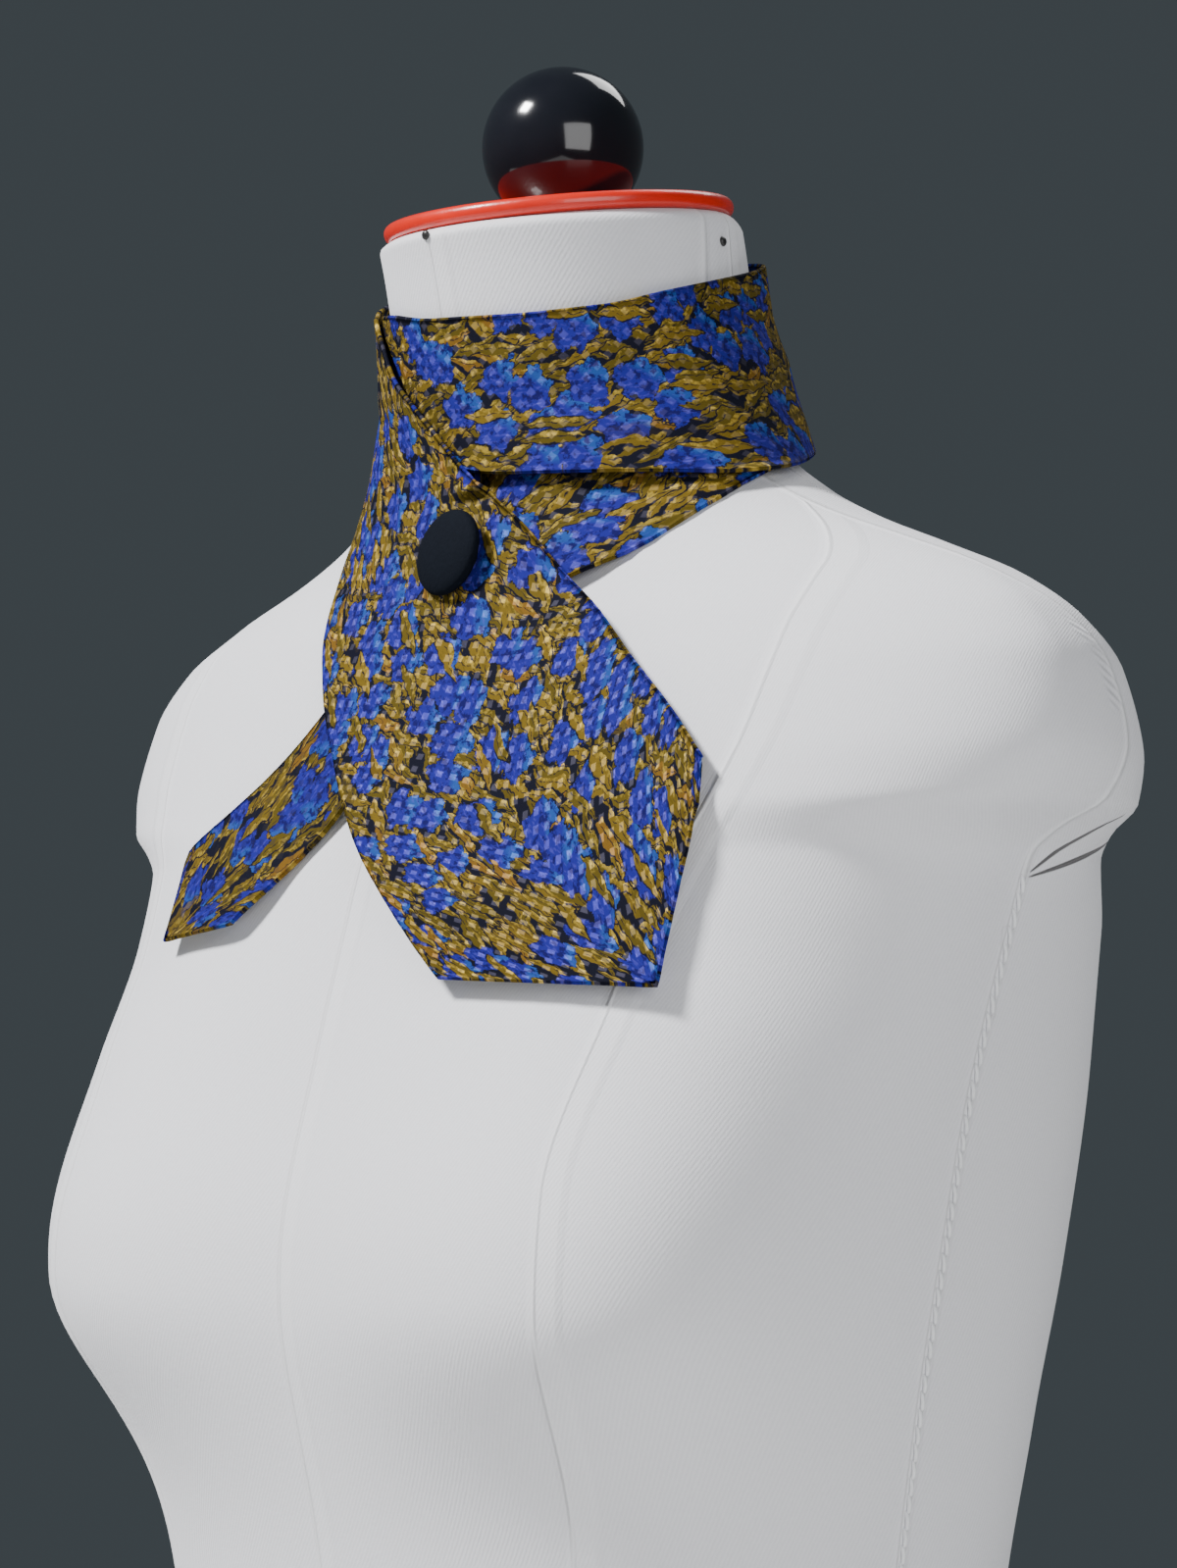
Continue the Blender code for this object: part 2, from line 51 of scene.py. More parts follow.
FORM_SECTIONS = [FormSection(*row) for row in [
    (0.000, 0.1760, 0.1120, 0.1220, 0.000, 2.3, 2.4),
    (0.004, 0.1800, 0.1160, 0.1260, 0.000, 2.3, 2.4),
    (0.040, 0.1810, 0.1170, 0.1250, 0.000, 2.3, 2.4),
    (0.085, 0.1670, 0.1130, 0.1150, 0.000, 2.3, 2.5),
    (0.130, 0.1440, 0.1025, 0.1000, 0.000, 2.3, 2.6),
    (0.165, 0.1370, 0.0995, 0.0970, 0.000, 2.3, 2.6),
    (0.210, 0.1420, 0.1040, 0.1010, 0.000, 2.3, 2.6),
    (0.260, 0.1510, 0.1110, 0.1060, 0.001, 2.3, 2.6),
    (0.310, 0.1590, 0.1140, 0.1100, 0.003, 2.3, 2.7),
    (0.370, 0.1670, 0.1060, 0.1130, 0.004, 2.3, 2.8),
    (0.408, 0.1720, 0.0985, 0.1130, 0.004, 2.2, 2.8),
    (0.430, 0.1750, 0.0930, 0.1110, 0.004, 2.2, 2.7),
    (0.438, 0.1830, 0.0900, 0.1090, 0.004, 2.2, 2.6),
    (0.446, 0.1970, 0.0870, 0.1070, 0.004, 2.1, 2.5),
    (0.463, 0.2030, 0.0820, 0.1030, 0.004, 2.0, 2.4),
    (0.485, 0.1995, 0.0750, 0.0975, 0.004, 1.9, 2.3),
    (0.501, 0.1880, 0.0690, 0.0920, 0.004, 1.8, 2.2),
    (0.515, 0.1660, 0.0640, 0.0860, 0.006, 1.7, 2.1),
    (0.526, 0.1380, 0.0605, 0.0800, 0.008, 1.7, 2.0),
    (0.537, 0.1080, 0.0590, 0.0740, 0.009, 1.8, 2.0),
    (0.549, 0.0830, 0.0585, 0.0680, 0.009, 1.9, 2.0),
    (0.562, 0.0660, 0.0580, 0.0630, 0.007, 2.0, 2.0),
    (0.578, 0.0608, 0.0580, 0.0595, 0.004, 2.0, 2.0),
    (0.600, 0.0585, 0.0580, 0.0580, 0.000, 2.0, 2.0),
    (0.630, 0.0580, 0.0580, 0.0580, -0.006, 2.0, 2.0),
    (0.6325, 0.0570, 0.0570, 0.0570, -0.007, 2.0, 2.0),
    (NECK_TOP, 0.0545, 0.0545, 0.0545, -0.007, 2.0, 2.0),
]]
RingRun = namedtuple("RingRun", "start end rings")
FORM_RINGS = [RingRun(*row) for row in [
    (0.000, 0.004, 2),
    (0.004, 0.400, 90),
    (0.400, 0.450, 24),
    (0.450, 0.578, 46),
    (0.578, 0.630, 12),
    (0.630, NECK_TOP, 4),
]]
FORM_COLUMNS = 300
BUST_HEIGHT = 0.302
BUST_TURN = radians(35)
BUST_RISE = 0.032
BUST_SPREAD_OUT = radians(26)
BUST_SPREAD_IN = radians(34)
BUST_FADE_UP = 0.090
BUST_FADE_DOWN = 0.046
TWILL_WHITE = (0.86, 0.86, 0.89, 1)
TWILL_SHADE = (0.66, 0.66, 0.71, 1)
FOLD_SHADE = (0.05, 0.045, 0.045, 1)
TWILL_PITCH_CM = 0.13
TWILL_RUN = (0.82, -0.57)


def read_rows(rows, at):
    """A table's row at any value of its first column, on one smooth curve through its rows."""
    keys = [row[0] for row in rows]
    at = min(max(at, keys[0]), keys[-1])
    i = min(bisect_right(keys, at) - 1, len(rows) - 2)
    span = keys[i + 1] - keys[i]
    t = (at - keys[i]) / span

    def step(k, column):
        return (rows[k + 1][column] - rows[k][column]) / (keys[k + 1] - keys[k])

    def slope(k, column):
        if k == 0 or k == len(rows) - 1:
            return step(min(k, len(rows) - 2), column)
        before = step(k - 1, column)
        after = step(k, column)
        return 0.0 if before * after <= 0 else 2 * before * after / (before + after)

    values = [at]
    for column in range(1, len(rows[0])):
        here, there = rows[i][column], rows[i + 1][column]
        values.append(
            here * (1 + 2 * t) * (1 - t) ** 2
            + there * t * t * (3 - 2 * t)
            + span * slope(i, column) * t * (1 - t) ** 2
            - span * slope(i + 1, column) * t * t * (1 - t)
        )
    return type(rows[0])(*values)


def form_point(section, turn):
    """The form's surface at one of its sections and one turn in radians."""
    across, ahead = sin(turn), cos(turn)
    depth, power = section.front, section.front_power
    if ahead < 0:
        depth, power = section.back, section.back_power
    x = section.half_width * abs(across) ** (2 / power) * (1 if across > 0 else -1)
    y = -depth * abs(ahead) ** (2 / power) * (1 if ahead > 0 else -1)

    from_bust = section.height - BUST_HEIGHT
    fade = BUST_FADE_UP if from_bust > 0 else BUST_FADE_DOWN
    off_apex = abs(atan2(across, ahead)) - BUST_TURN
    spread_by = BUST_SPREAD_OUT if off_apex > 0 else BUST_SPREAD_IN
    rise = BUST_RISE * exp(-((off_apex / spread_by) ** 2) - (from_bust / fade) ** 2)

    leaning = (section.height - NECK_TILT_START) / (NECK_TOP - NECK_TILT_START)
    lean = NECK_TILT * min(max(leaning, 0), 1)
    return Vector((
        x + rise * across,
        section.centre_y + y - rise * ahead,
        section.height + tan(lean) * y,
    ))


def spread(start, end, count):
    """Evenly spaced values from start to end, both included."""
    return [start + (end - start) * k / count for k in range(count + 1)]


def finish_piece(piece, name, material, slot, *nodes):
    """Name a finished piece, paint it, and let it stand for its solids."""
    piece.name = name
    piece.data.name = name
    piece.data.materials.clear()
    piece.data.materials.append(material)
    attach(piece, "root")
    if nodes:
        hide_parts(*nodes)


def new_material(name, roughness):
    """A new painted material and its shader."""
    material = bpy.data.materials.new(name)
    material.use_nodes = True
    shader = material.node_tree.nodes["Principled BSDF"]
    shader.inputs["Roughness"].default_value = roughness
    return material, shader


def plug(value, socket):
    """Link an input to another socket, or set it to a plain value."""
    if isinstance(value, bpy.types.NodeSocket):
        socket.id_data.links.new(value, socket)
    else:
        socket.default_value = value


def add_node(tree, kind, *inputs, **settings):
    """A node with its settings, and its first inputs linked to sockets or set to values."""
    node = tree.nodes.new(kind)
    for key, value in settings.items():
        setattr(node, key, value)
    for socket, value in zip(node.inputs, inputs):
        plug(value, socket)
    return node


def tree_of(*values):
    """The node tree of the sockets among some values."""
    return next(value.id_data for value in values if isinstance(value, bpy.types.NodeSocket))


def sums(operation, *values):
    """One step of arithmetic on sockets and numbers."""
    return add_node(tree_of(*values), "ShaderNodeMath", *values, operation=operation).outputs[0]


def plus(first, second):
    return sums("ADD", first, second)


def minus(first, second):
    return sums("SUBTRACT", first, second)


def times(first, second):
    return sums("MULTIPLY", first, second)


def larger(first, second):
    return sums("MAXIMUM", first, second)


def size_of(value):
    return sums("ABSOLUTE", value)


def weighed(*pairs):
    """Sockets added up, each times a number of its own."""
    total = 0.0
    for value, share in pairs:
        total = plus(times(value, share), total)
    return total


def vector_sums(operation, *values):
    """One step of arithmetic on vector sockets and vectors."""
    return add_node(tree_of(*values), "ShaderNodeVectorMath", *values, operation=operation).outputs[0]


def axes_of(vector):
    """A vector socket's three numbers."""
    return add_node(vector.id_data, "ShaderNodeSeparateXYZ", vector).outputs


def read_attribute(shader, name):
    """A mesh's own vectors, as a socket in a shader's tree."""
    return add_node(shader.id_data, "ShaderNodeAttribute", attribute_name=name).outputs["Vector"]


def object_place(shader):
    """The place on the object in metres, as a socket in a shader's tree."""
    return add_node(shader.id_data, "ShaderNodeTexCoord").outputs["Object"]


def noise(place, scale, detail=2.0, rough=0.5):
    """Soft random patches: the first output is a number and the second a vector."""
    node = add_node(place.id_data, "ShaderNodeTexNoise")
    for name, value in [("Vector", place), ("Scale", scale), ("Detail", detail), ("Roughness", rough)]:
        plug(value, node.inputs[name])
    return node.outputs


# Where something ends, and half the width of the soft step there.
Edge = namedtuple("Edge", "place softness")


def above(value, edge):
    """0 below an edge and 1 above it, with its soft step between."""
    low, high = edge.place - edge.softness, edge.place + edge.softness
    return add_node(value.id_data, "ShaderNodeMapRange", value, low, high, 0.0, 1.0).outputs[0]


def within(value, edge):
    """1 near zero and 0 further off than an edge, with its soft step between."""
    return minus(1.0, above(size_of(value), edge))


def mixed(share, first, second, blend="MIX"):
    """Two colours blended, of which either or both can be sockets."""
    node = tree_of(share, first, second).nodes.new("ShaderNodeMix")
    node.data_type = "RGBA"
    node.blend_type = blend
    for number, value in [(0, share), (6, first), (7, second)]:
        plug(value, node.inputs[number])
    return node.outputs[2]


def bumped(shader, height, distance, strength=1.0):
    """Let a height socket stand up from the surface in the shading."""
    node = add_node(shader.id_data, "ShaderNodeBump")
    for name, value in [("Strength", strength), ("Distance", distance), ("Height", height)]:
        plug(value, node.inputs[name])
    plug(node.outputs["Normal"], shader.inputs["Normal"])


# The seams of the cover: their turn from the front, in degrees, at a few heights.
SeamPoint = namedtuple("SeamPoint", "height turn")
FRONT_PANEL_SEAM = [SeamPoint(*row) for row in [
    (0.000, 46),
    (0.165, 44),
    (0.226, 46),
    (0.298, 42),
    (0.331, 42.5),
    (0.386, 50),
    (0.461, 65),
    (0.499, 72.5),
    (0.527, 84),
    (0.540, 90),
]]
BACK_PANEL_SEAM = [SeamPoint(*row) for row in [
    (0.000, 140),
    (0.165, 145),
    (0.300, 138),
    (0.440, 132),
    (0.500, 118),
    (0.540, 105),
]]
SIDE_SEAM = [SeamPoint(*row) for row in [
    (0.000, 90),
    (0.165, 88),
    (0.260, 87),
    (0.340, 89),
    (0.425, 95),
    (0.464, 99),
    (0.495, 97),
    (0.520, 92),
    (0.560, 90),
    (NECK_TOP, 90),
]]
# Where the cover is folded under the arm's end, from one place to another on the form's left. The
# right side has the same folds. Values that end in CM are centimetres, as the cover's own places are.
Fold = namedtuple("Fold", "name turn height to_turn to_height")
FOLDS = [
    Fold("upper_fold", 96, 0.4250, 106, 0.4425),
    Fold("lower_fold", 96, 0.4235, 114, 0.4365),
]
STITCHED_TO = 0.428
SIDE_LINE_CM = Edge(0.10, 0.06)
SIDE_RIDGE_CM = Edge(0.20, 0.10)
PANEL_LINE_CM = Edge(0.05, 0.04)
TURNED_EDGE_CM = Edge(0.42, 0.12)
TURNED_EDGE_MIDDLE_CM = 0.33
GROOVE_CM = Edge(0.03, 0.03)
GROOVE_BEFORE_SEAM_CM = 0.15
GROOVE_TOP_CM = Edge(0, 0.5)
FOLD_HALF_CM = 0.065
FOLD_TAPER_CM = 0.2
FOLD_RIM_CM = Edge(0, 0.02)
FOLD_ENDS = Edge(0.5, 0.02)
TUCKS_MIDDLE_CM = 48.45
TUCKS_CM = Edge(1.25, 0.2)
TUCK_REACH_CM = Edge(0.375, 0.15)
TUCK_PITCH_CM = 0.36
TUCK_SLANT = 0.5
RIB_STEP = Edge(0, 0.9)
# How much each mark darkens the cover, and how high it stands. For the groove and the fold the darkening
# is painted shade; below zero, for the seam line and the turned edge, it is a painted highlight.
Mark = namedtuple("Mark", "shade relief")
RIB_MARK = Mark(0.20, 0.04)
NAP_MARK = Mark(0.45, 0.25)
LINE_MARK = Mark(-0.30, 1.1)
EDGE_MARK = Mark(-0.14, 0.9)
GROOVE_SHADE_MARK = Mark(0.30, 0)
TUCK_MARK = Mark(0, 0.7)
FOLD_MARK = Mark(0.9, -4.0)
TWILL_RELIEF = 0.0005


def fold_place(fold, turn, height, radius):
    """A place's distance from a fold's line in centimetres, and its share of the fold's length."""
    start = Vector((radians(fold.turn) * radius, fold.height))
    run = Vector((radians(fold.to_turn) * radius, fold.to_height)) - start
    away = Vector((radians(abs(turn)) * radius, height)) - start
    return away.cross(run) / run.length * 100, away.dot(run) / run.length_squared


def seam_distances(section, turn, radius):
    """Signed distances in centimetres from the middle, the panel and the side seams."""
    away = abs(turn)
    side_sign = 1 if turn > 0 else -1
    middle = min(away, 180 - away) * side_sign
    panel = FRONT_PANEL_SEAM if away < read_rows(SIDE_SEAM, section.height).turn else BACK_PANEL_SEAM
    offsets = (
        middle,
        away - read_rows(panel, section.height).turn,
        away - read_rows(SIDE_SEAM, section.height).turn,
    )
    return [radians(offset) * radius * 100 for offset in offsets]


bpy.ops.object.select_all(action="DESELECT")
bpy.ops.mesh.primitive_circle_add(
    vertices=FORM_COLUMNS, radius=FORM_SECTIONS[0].half_width, fill_type="NGON"
)
torso = bpy.context.object
ring_heights = [FORM_RINGS[0].start]
for run in FORM_RINGS:
    ring_heights += spread(run.start, run.end, run.rings)[1:]
bpy.ops.object.mode_set(mode="EDIT")
for height in ring_heights[1:]:
    bpy.ops.mesh.extrude_region_move()
bpy.ops.object.mode_set(mode="OBJECT")
form_turns = [2 * pi * column / FORM_COLUMNS for column in range(FORM_COLUMNS)]
form_rings = [read_rows(FORM_SECTIONS, height) for height in ring_heights]
for name in ["seams", "twill"] + [fold.name for fold in FOLDS]:
    torso.data.attributes.new(name, "FLOAT_VECTOR", "POINT")
seam_layer = torso.data.attributes["seams"]
twill_layer = torso.data.attributes["twill"]
fold_layers = [torso.data.attributes[fold.name] for fold in FOLDS]
for ring, section in enumerate(form_rings):
    for column, turn in enumerate(form_turns):
        number = ring * FORM_COLUMNS + column
        point = form_point(section, turn)
        torso.data.vertices[number].co = point
        signed = degrees(atan2(point.x, -point.y))
        radius = hypot(point.x, point.y)
        seam_layer.data[number].vector = seam_distances(section, signed, radius)
        twill_layer.data[number].vector = (radians(signed) * radius * 100, point.z * 100, 0)
        for fold, layer in zip(FOLDS, fold_layers):
            layer.data[number].vector = (*fold_place(fold, signed, point.z, radius), 0)
bpy.ops.object.mode_set(mode="EDIT")
bpy.ops.mesh.select_all(action="SELECT")
bpy.ops.mesh.normals_make_consistent(inside=False)
bpy.ops.object.mode_set(mode="OBJECT")
bpy.ops.object.shade_smooth_by_angle(angle=radians(40))

twill, twill_shader = new_material("white_twill", 0.82)
seam_axes = axes_of(read_attribute(twill_shader, "seams"))
cloth_place = read_attribute(twill_shader, "twill")
cloth_axes = axes_of(cloth_place)

# The seam lines and the turned edges beside them stand up in the relief and are also painted lighter, as
# a painted highlight on the raised cloth.
line = within(seam_axes[2], SIDE_LINE_CM)
ridge = within(seam_axes[2], SIDE_RIDGE_CM)
for axis in seam_axes[0:2]:
    line = larger(line, within(axis, PANEL_LINE_CM))
    ridge = larger(ridge, within(minus(axis, TURNED_EDGE_MIDDLE_CM), TURNED_EDGE_CM))
# Painted shade: a thin dark line just in front of the side seam, along its stitched part, where the
# seam's edge would shade the cloth.
groove_shade = within(plus(seam_axes[2], GROOVE_BEFORE_SEAM_CM), GROOVE_CM)
groove_shade = times(groove_shade, above(minus(STITCHED_TO * 100, cloth_axes[1]), GROOVE_TOP_CM))

# The folds' lines, sunk in the relief and also painted near-black as shade in their creases.
fold = 0.0
for spec in FOLDS:
    fold_axes = axes_of(read_attribute(twill_shader, spec.name))
    from_middle = minus(fold_axes[1], 0.5)
    half = minus(FOLD_HALF_CM, times(times(from_middle, from_middle), FOLD_TAPER_CM))
    inside = above(minus(half, size_of(fold_axes[0])), FOLD_RIM_CM)
    fold = larger(fold, times(inside, within(from_middle, FOLD_ENDS)))

tuck_zone = within(minus(cloth_axes[1], TUCKS_MIDDLE_CM), TUCKS_CM)
tuck_zone = times(tuck_zone, within(plus(seam_axes[2], TUCK_REACH_CM.place), TUCK_REACH_CM))
tuck_slant = weighed((cloth_axes[1], 1.0), (seam_axes[2], TUCK_SLANT))
tuck = times(tuck_zone, sums("SINE", times(tuck_slant, 2 * pi / TUCK_PITCH_CM)))

slanted = weighed((cloth_axes[0], TWILL_RUN[0]), (cloth_axes[1], TWILL_RUN[1]))
rib = sums("SINE", times(slanted, 2 * pi / TWILL_PITCH_CM))
nap = noise(cloth_place, 6.0, 4.0, 0.7)[0]
# The ribs and the nap darken the twill; the seam lines and turned edges lighten it as a painted
# highlight.
shade = weighed(
    (above(rib, RIB_STEP), RIB_MARK.shade), (nap, NAP_MARK.shade),
    (line, LINE_MARK.shade), (ridge, EDGE_MARK.shade)
)
twill_colour = mixed(shade, TWILL_WHITE, TWILL_SHADE)
# The line in front of the side seam is darkened towards near-black as painted shade.
twill_colour = mixed(times(groove_shade, GROOVE_SHADE_MARK.shade), twill_colour, FOLD_SHADE)
# Painted shade: the folds' lines are darkened to near-black, as shade inside the creases.
twill_colour = mixed(times(fold, FOLD_MARK.shade), twill_colour, FOLD_SHADE)
plug(twill_colour, twill_shader.inputs["Base Color"])
relief = weighed(
    (rib, RIB_MARK.relief), (nap, NAP_MARK.relief), (ridge, EDGE_MARK.relief),
    (line, LINE_MARK.relief), (tuck, TUCK_MARK.relief), (fold, FOLD_MARK.relief)
)
bumped(twill_shader, relief, TWILL_RELIEF, 0.9)
twill_shader.inputs["Sheen Weight"].default_value = 0.15
twill_shader.inputs["Specular IOR Level"].default_value = 0.25
finish_piece(torso, "form_body", twill, "form_cloth", "form_torso")

# The side seams' whip stitching: white thread sewn over the edge by hand, from the armhole down.
# Each stitch is a short slanted bar of thread that dips into the cloth at both ends.
STITCH_PITCH = 0.0050
STITCH_REACH = 0.0005
STITCH_SLANT = 0.0031
THREAD_RADIUS = 0.00065
STITCHED_FROM = 0.006
BowPoint = namedtuple("BowPoint", "along lift")
STITCH_BOW = [
    BowPoint(-1, -0.2),
    BowPoint(-0.6, 0.9),
    BowPoint(0, 1.3),
    BowPoint(0.6, 0.9),
    BowPoint(1, -0.2),
]
THREAD_SIDES = 6
THREAD_END_SHARE = 0.45
THREAD_GREY = (0.84, 0.85, 0.87, 1)
THREAD_WHITE = (0.93, 0.93, 0.95, 1)
RAY_START = 0.5


def ray_tree(mesh):
    """A mesh as a tree that rays can be sent at."""
    places = [vertex.co.copy() for vertex in mesh.vertices]
    return BVHTree.FromPolygons(places, [list(polygon.vertices) for polygon in mesh.polygons])


def outward(turn):
    """The level direction away from the form at a turn in degrees."""
    return Vector((sin(radians(turn)), -cos(radians(turn)), 0))


def first_hit(solid, turn, height):
    """Where a level ray from outside first meets a solid, and the face's normal there."""
    start = outward(turn) * RAY_START + Vector((0, 0, height))
    return solid.ray_cast(start, -outward(turn))[:2]


def mesh_piece(name, points, faces):
    """A smooth new object of some points and faces."""
    mesh = bpy.data.meshes.new(name)
    mesh.from_pydata(points, [], faces)
    mesh.shade_smooth()
    piece = bpy.data.objects.new(name, mesh)
    bpy.context.scene.collection.objects.link(piece)
    return piece


def joined_mesh(name, shapes):
    """One object of many small closed shapes, each a list of points and a list of faces."""
    points, faces = [], []
    for shape_points, shape_faces in shapes:
        faces += [[index + len(points) for index in face] for face in shape_faces]
        points += shape_points
    return mesh_piece(name, points, faces)


def thread_bar(path, normal):
    """A bar of thread along a few points, its ends drawn to a small flat face."""
    points, faces = [], []
    last = len(path) - 1
    for k, centre in enumerate(path):
        ahead = (path[min(k + 1, last)] - path[max(k - 1, 0)]).normalized()
        beside = ahead.cross(normal).normalized()
        up = beside.cross(ahead)
        width = THREAD_RADIUS * (THREAD_END_SHARE if k in (0, last) else 1)
        for side in range(THREAD_SIDES):
            turn = 2 * pi * side / THREAD_SIDES
            points.append(centre + (beside * cos(turn) + up * sin(turn)) * width)
    for k in range(last):
        for side in range(THREAD_SIDES):
            here = k * THREAD_SIDES + side
            there = k * THREAD_SIDES + (side + 1) % THREAD_SIDES
            faces.append([here, there, there + THREAD_SIDES, here + THREAD_SIDES])
    faces.append(list(range(THREAD_SIDES))[::-1])
    faces.append(list(range(last * THREAD_SIDES, len(path) * THREAD_SIDES)))
    return points, faces


body = ray_tree(torso.data)
stitches = []
for side_sign in (1, -1):
    for number in range(int((STITCHED_TO - STITCHED_FROM) / STITCH_PITCH)):
        height = STITCHED_FROM + number * STITCH_PITCH
        place, normal = first_hit(body, side_sign * read_rows(SIDE_SEAM, height).turn, height)
        across = normal.cross(Vector((0, 0, 1))).normalized() * side_sign
        up = across.cross(normal)
        slant = across * STITCH_REACH + up * STITCH_SLANT
        path = [place + slant * bow.along + normal * THREAD_RADIUS * bow.lift for bow in STITCH_BOW]
        stitches.append(thread_bar(path, normal))
thread, thread_shader = new_material("white_thread", 0.7)
twist = noise(object_place(thread_shader), 900.0)[0]
plug(mixed(twist, THREAD_GREY, THREAD_WHITE), thread_shader.inputs["Base Color"])
bumped(thread_shader, twist, 0.0001)
finish_piece(joined_mesh("side_stitches", stitches), "side_stitches", thread, "form_cloth")

# The cap on the neck: a flat disc of wood or plastic painted glossy red, its edge rounded over. It
# lies on the neck's tilted top and shows all round as a thin red ring.
CAP_RADIUS = 0.0562
CAP_THICKNESS = 0.0056
CAP_EDGE_SHARE = 0.46
CAP_RED = (0.80, 0.020, 0.005, 1)
CAP_DARK_RED = (0.55, 0.012, 0.004, 1)
SEAM_GAP = 0.0003


def neck_top_frame(behind):
    """A matrix that stands a turned piece on the neck's tilted top, a little behind its middle."""
    centre = Matrix.Translation((0, FORM_SECTIONS[-1].centre_y, NECK_TOP + SEAM_GAP))
    return centre @ Matrix.Rotation(NECK_TILT, 4, "X") @ Matrix.Translation((0, behind, 0))


def place_in_mesh(piece, matrix):
    """Put a piece's place into its mesh, so that its object stays at the origin."""
    piece.data.transform(matrix @ piece.matrix_basis)
    piece.matrix_basis = Matrix.Identity(4)


bpy.ops.object.select_all(action="DESELECT")
bpy.ops.mesh.primitive_cylinder_add(
    vertices=128, radius=CAP_RADIUS, depth=CAP_THICKNESS, location=(0, 0, CAP_THICKNESS / 2)
)
cap = bpy.context.object
rounding = cap.modifiers.new("rounding", "BEVEL")
rounding.width = CAP_THICKNESS * CAP_EDGE_SHARE
rounding.segments = 6
bpy.ops.object.modifier_apply(modifier=rounding.name)
place_in_mesh(cap, neck_top_frame(0))
bpy.ops.object.shade_smooth_by_angle(angle=radians(40))

red, red_shader = new_material("red_paint", 0.34)
red_place = object_place(red_shader)
plug(mixed(noise(red_place, 60.0, 4.0)[0], CAP_RED, CAP_DARK_RED), red_shader.inputs["Base Color"])
bumped(red_shader, noise(red_place, 420.0, 3.0)[0], 0.00012)
red_shader.inputs["Coat Weight"].default_value = 0.3
finish_piece(cap, "neck_cap", red, "cap_paint", "form_neck_cap")

# The knob: a turned wooden ball lacquered deep glossy black, flat underneath where it is screwed
# down on the cap. The form is lifted by it.
KNOB_RADIUS = 0.0260
KNOB_CENTRE_ABOVE_CAP = 0.0210
KNOB_BEHIND_CAP_CENTRE = 0.0045
KNOB_FOOT_ROUNDING = 0.0006
LACQUER_BLACK = (0.004, 0.005, 0.008, 1)
LACQUER_GREY = (0.012, 0.013, 0.018, 1)

bpy.ops.object.select_all(action="DESELECT")
knob_centre = CAP_THICKNESS + KNOB_CENTRE_ABOVE_CAP
bpy.ops.mesh.primitive_uv_sphere_add(
    segments=96, ring_count=64, radius=KNOB_RADIUS, location=(0, 0, knob_centre)
)
knob = bpy.context.object
bpy.ops.object.mode_set(mode="EDIT")
bpy.ops.mesh.select_all(action="SELECT")
bpy.ops.mesh.bisect(
    plane_co=(0, 0, CAP_THICKNESS + SEAM_GAP), plane_no=(0, 0, 1), clear_inner=True, use_fill=True
)
bpy.ops.object.mode_set(mode="OBJECT")
rounding = knob.modifiers.new("rounding", "BEVEL")
rounding.width = KNOB_FOOT_ROUNDING
rounding.segments = 2
rounding.angle_limit = radians(40)
bpy.ops.object.modifier_apply(modifier=rounding.name)
place_in_mesh(knob, neck_top_frame(KNOB_BEHIND_CAP_CENTRE))
bpy.ops.object.shade_smooth_by_angle(angle=radians(30))

lacquer, lacquer_shader = new_material("black_lacquer", 0.10)
haze = noise(object_place(lacquer_shader), 45.0, 3.0)[0]
plug(mixed(haze, LACQUER_BLACK, LACQUER_GREY), lacquer_shader.inputs["Base Color"])
dulled = add_node(haze.id_data, "ShaderNodeMapRange", haze, 0.3, 0.7, 0.07, 0.14).outputs[0]
plug(dulled, lacquer_shader.inputs["Roughness"])
lacquer_shader.inputs["Coat Weight"].default_value = 0.2
lacquer_shader.inputs["Coat Roughness"].default_value = 0.03
finish_piece(knob, "knob", lacquer, "knob_lacquer", "form_knob")

# The tacks: small black nails that hold the neck's cover, one on the middle seam and one at the
# side. Only their low domed heads show.
TACK_RADIUS = 0.0016
TACK_STANDS_OUT = 0.0011
TACK_BELOW_TOP = 0.0085
Tack = namedtuple("Tack", "name node turn")
TACKS = [
    Tack("tack_front", "form_tack_front", 0),
    Tack("tack_side", "form_tack_side", 100),
]
ENAMEL_BLACK = (0.008, 0.008, 0.009, 1)
ENAMEL_CHIPPED = (0.035, 0.034, 0.034, 1)


def facing_matrix(normal):
    """A turn that carries +Z to a normal."""
    return normal.to_track_quat("Z", "Y").to_matrix().to_4x4()


tack_black, tack_shader = new_material("tack_enamel", 0.35)
chips = noise(object_place(tack_shader), 800.0)[0]
plug(mixed(chips, ENAMEL_BLACK, ENAMEL_CHIPPED), tack_shader.inputs["Base Color"])
torso_solid = ray_tree(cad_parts["form_torso"].data)
for spec in TACKS:
    place, normal = first_hit(torso_solid, spec.turn, NECK_TOP - TACK_BELOW_TOP)
    bpy.ops.object.select_all(action="DESELECT")
    bpy.ops.mesh.primitive_uv_sphere_add(segments=24, ring_count=12, radius=1)
    tack = bpy.context.object
    bpy.ops.object.mode_set(mode="EDIT")
    bpy.ops.mesh.select_all(action="SELECT")
    bpy.ops.mesh.bisect(plane_co=(0, 0, 0), plane_no=(0, 0, 1), clear_inner=True, use_fill=True)
    bpy.ops.object.mode_set(mode="OBJECT")
    size = Matrix.Diagonal((TACK_RADIUS, TACK_RADIUS, TACK_STANDS_OUT, 1))
    place_in_mesh(tack, Matrix.Translation(place + normal * SEAM_GAP) @ facing_matrix(normal) @ size)
    bpy.ops.object.shade_smooth_by_angle(angle=radians(40))
    finish_piece(tack, spec.name, tack_black, "tack_black", spec.node)

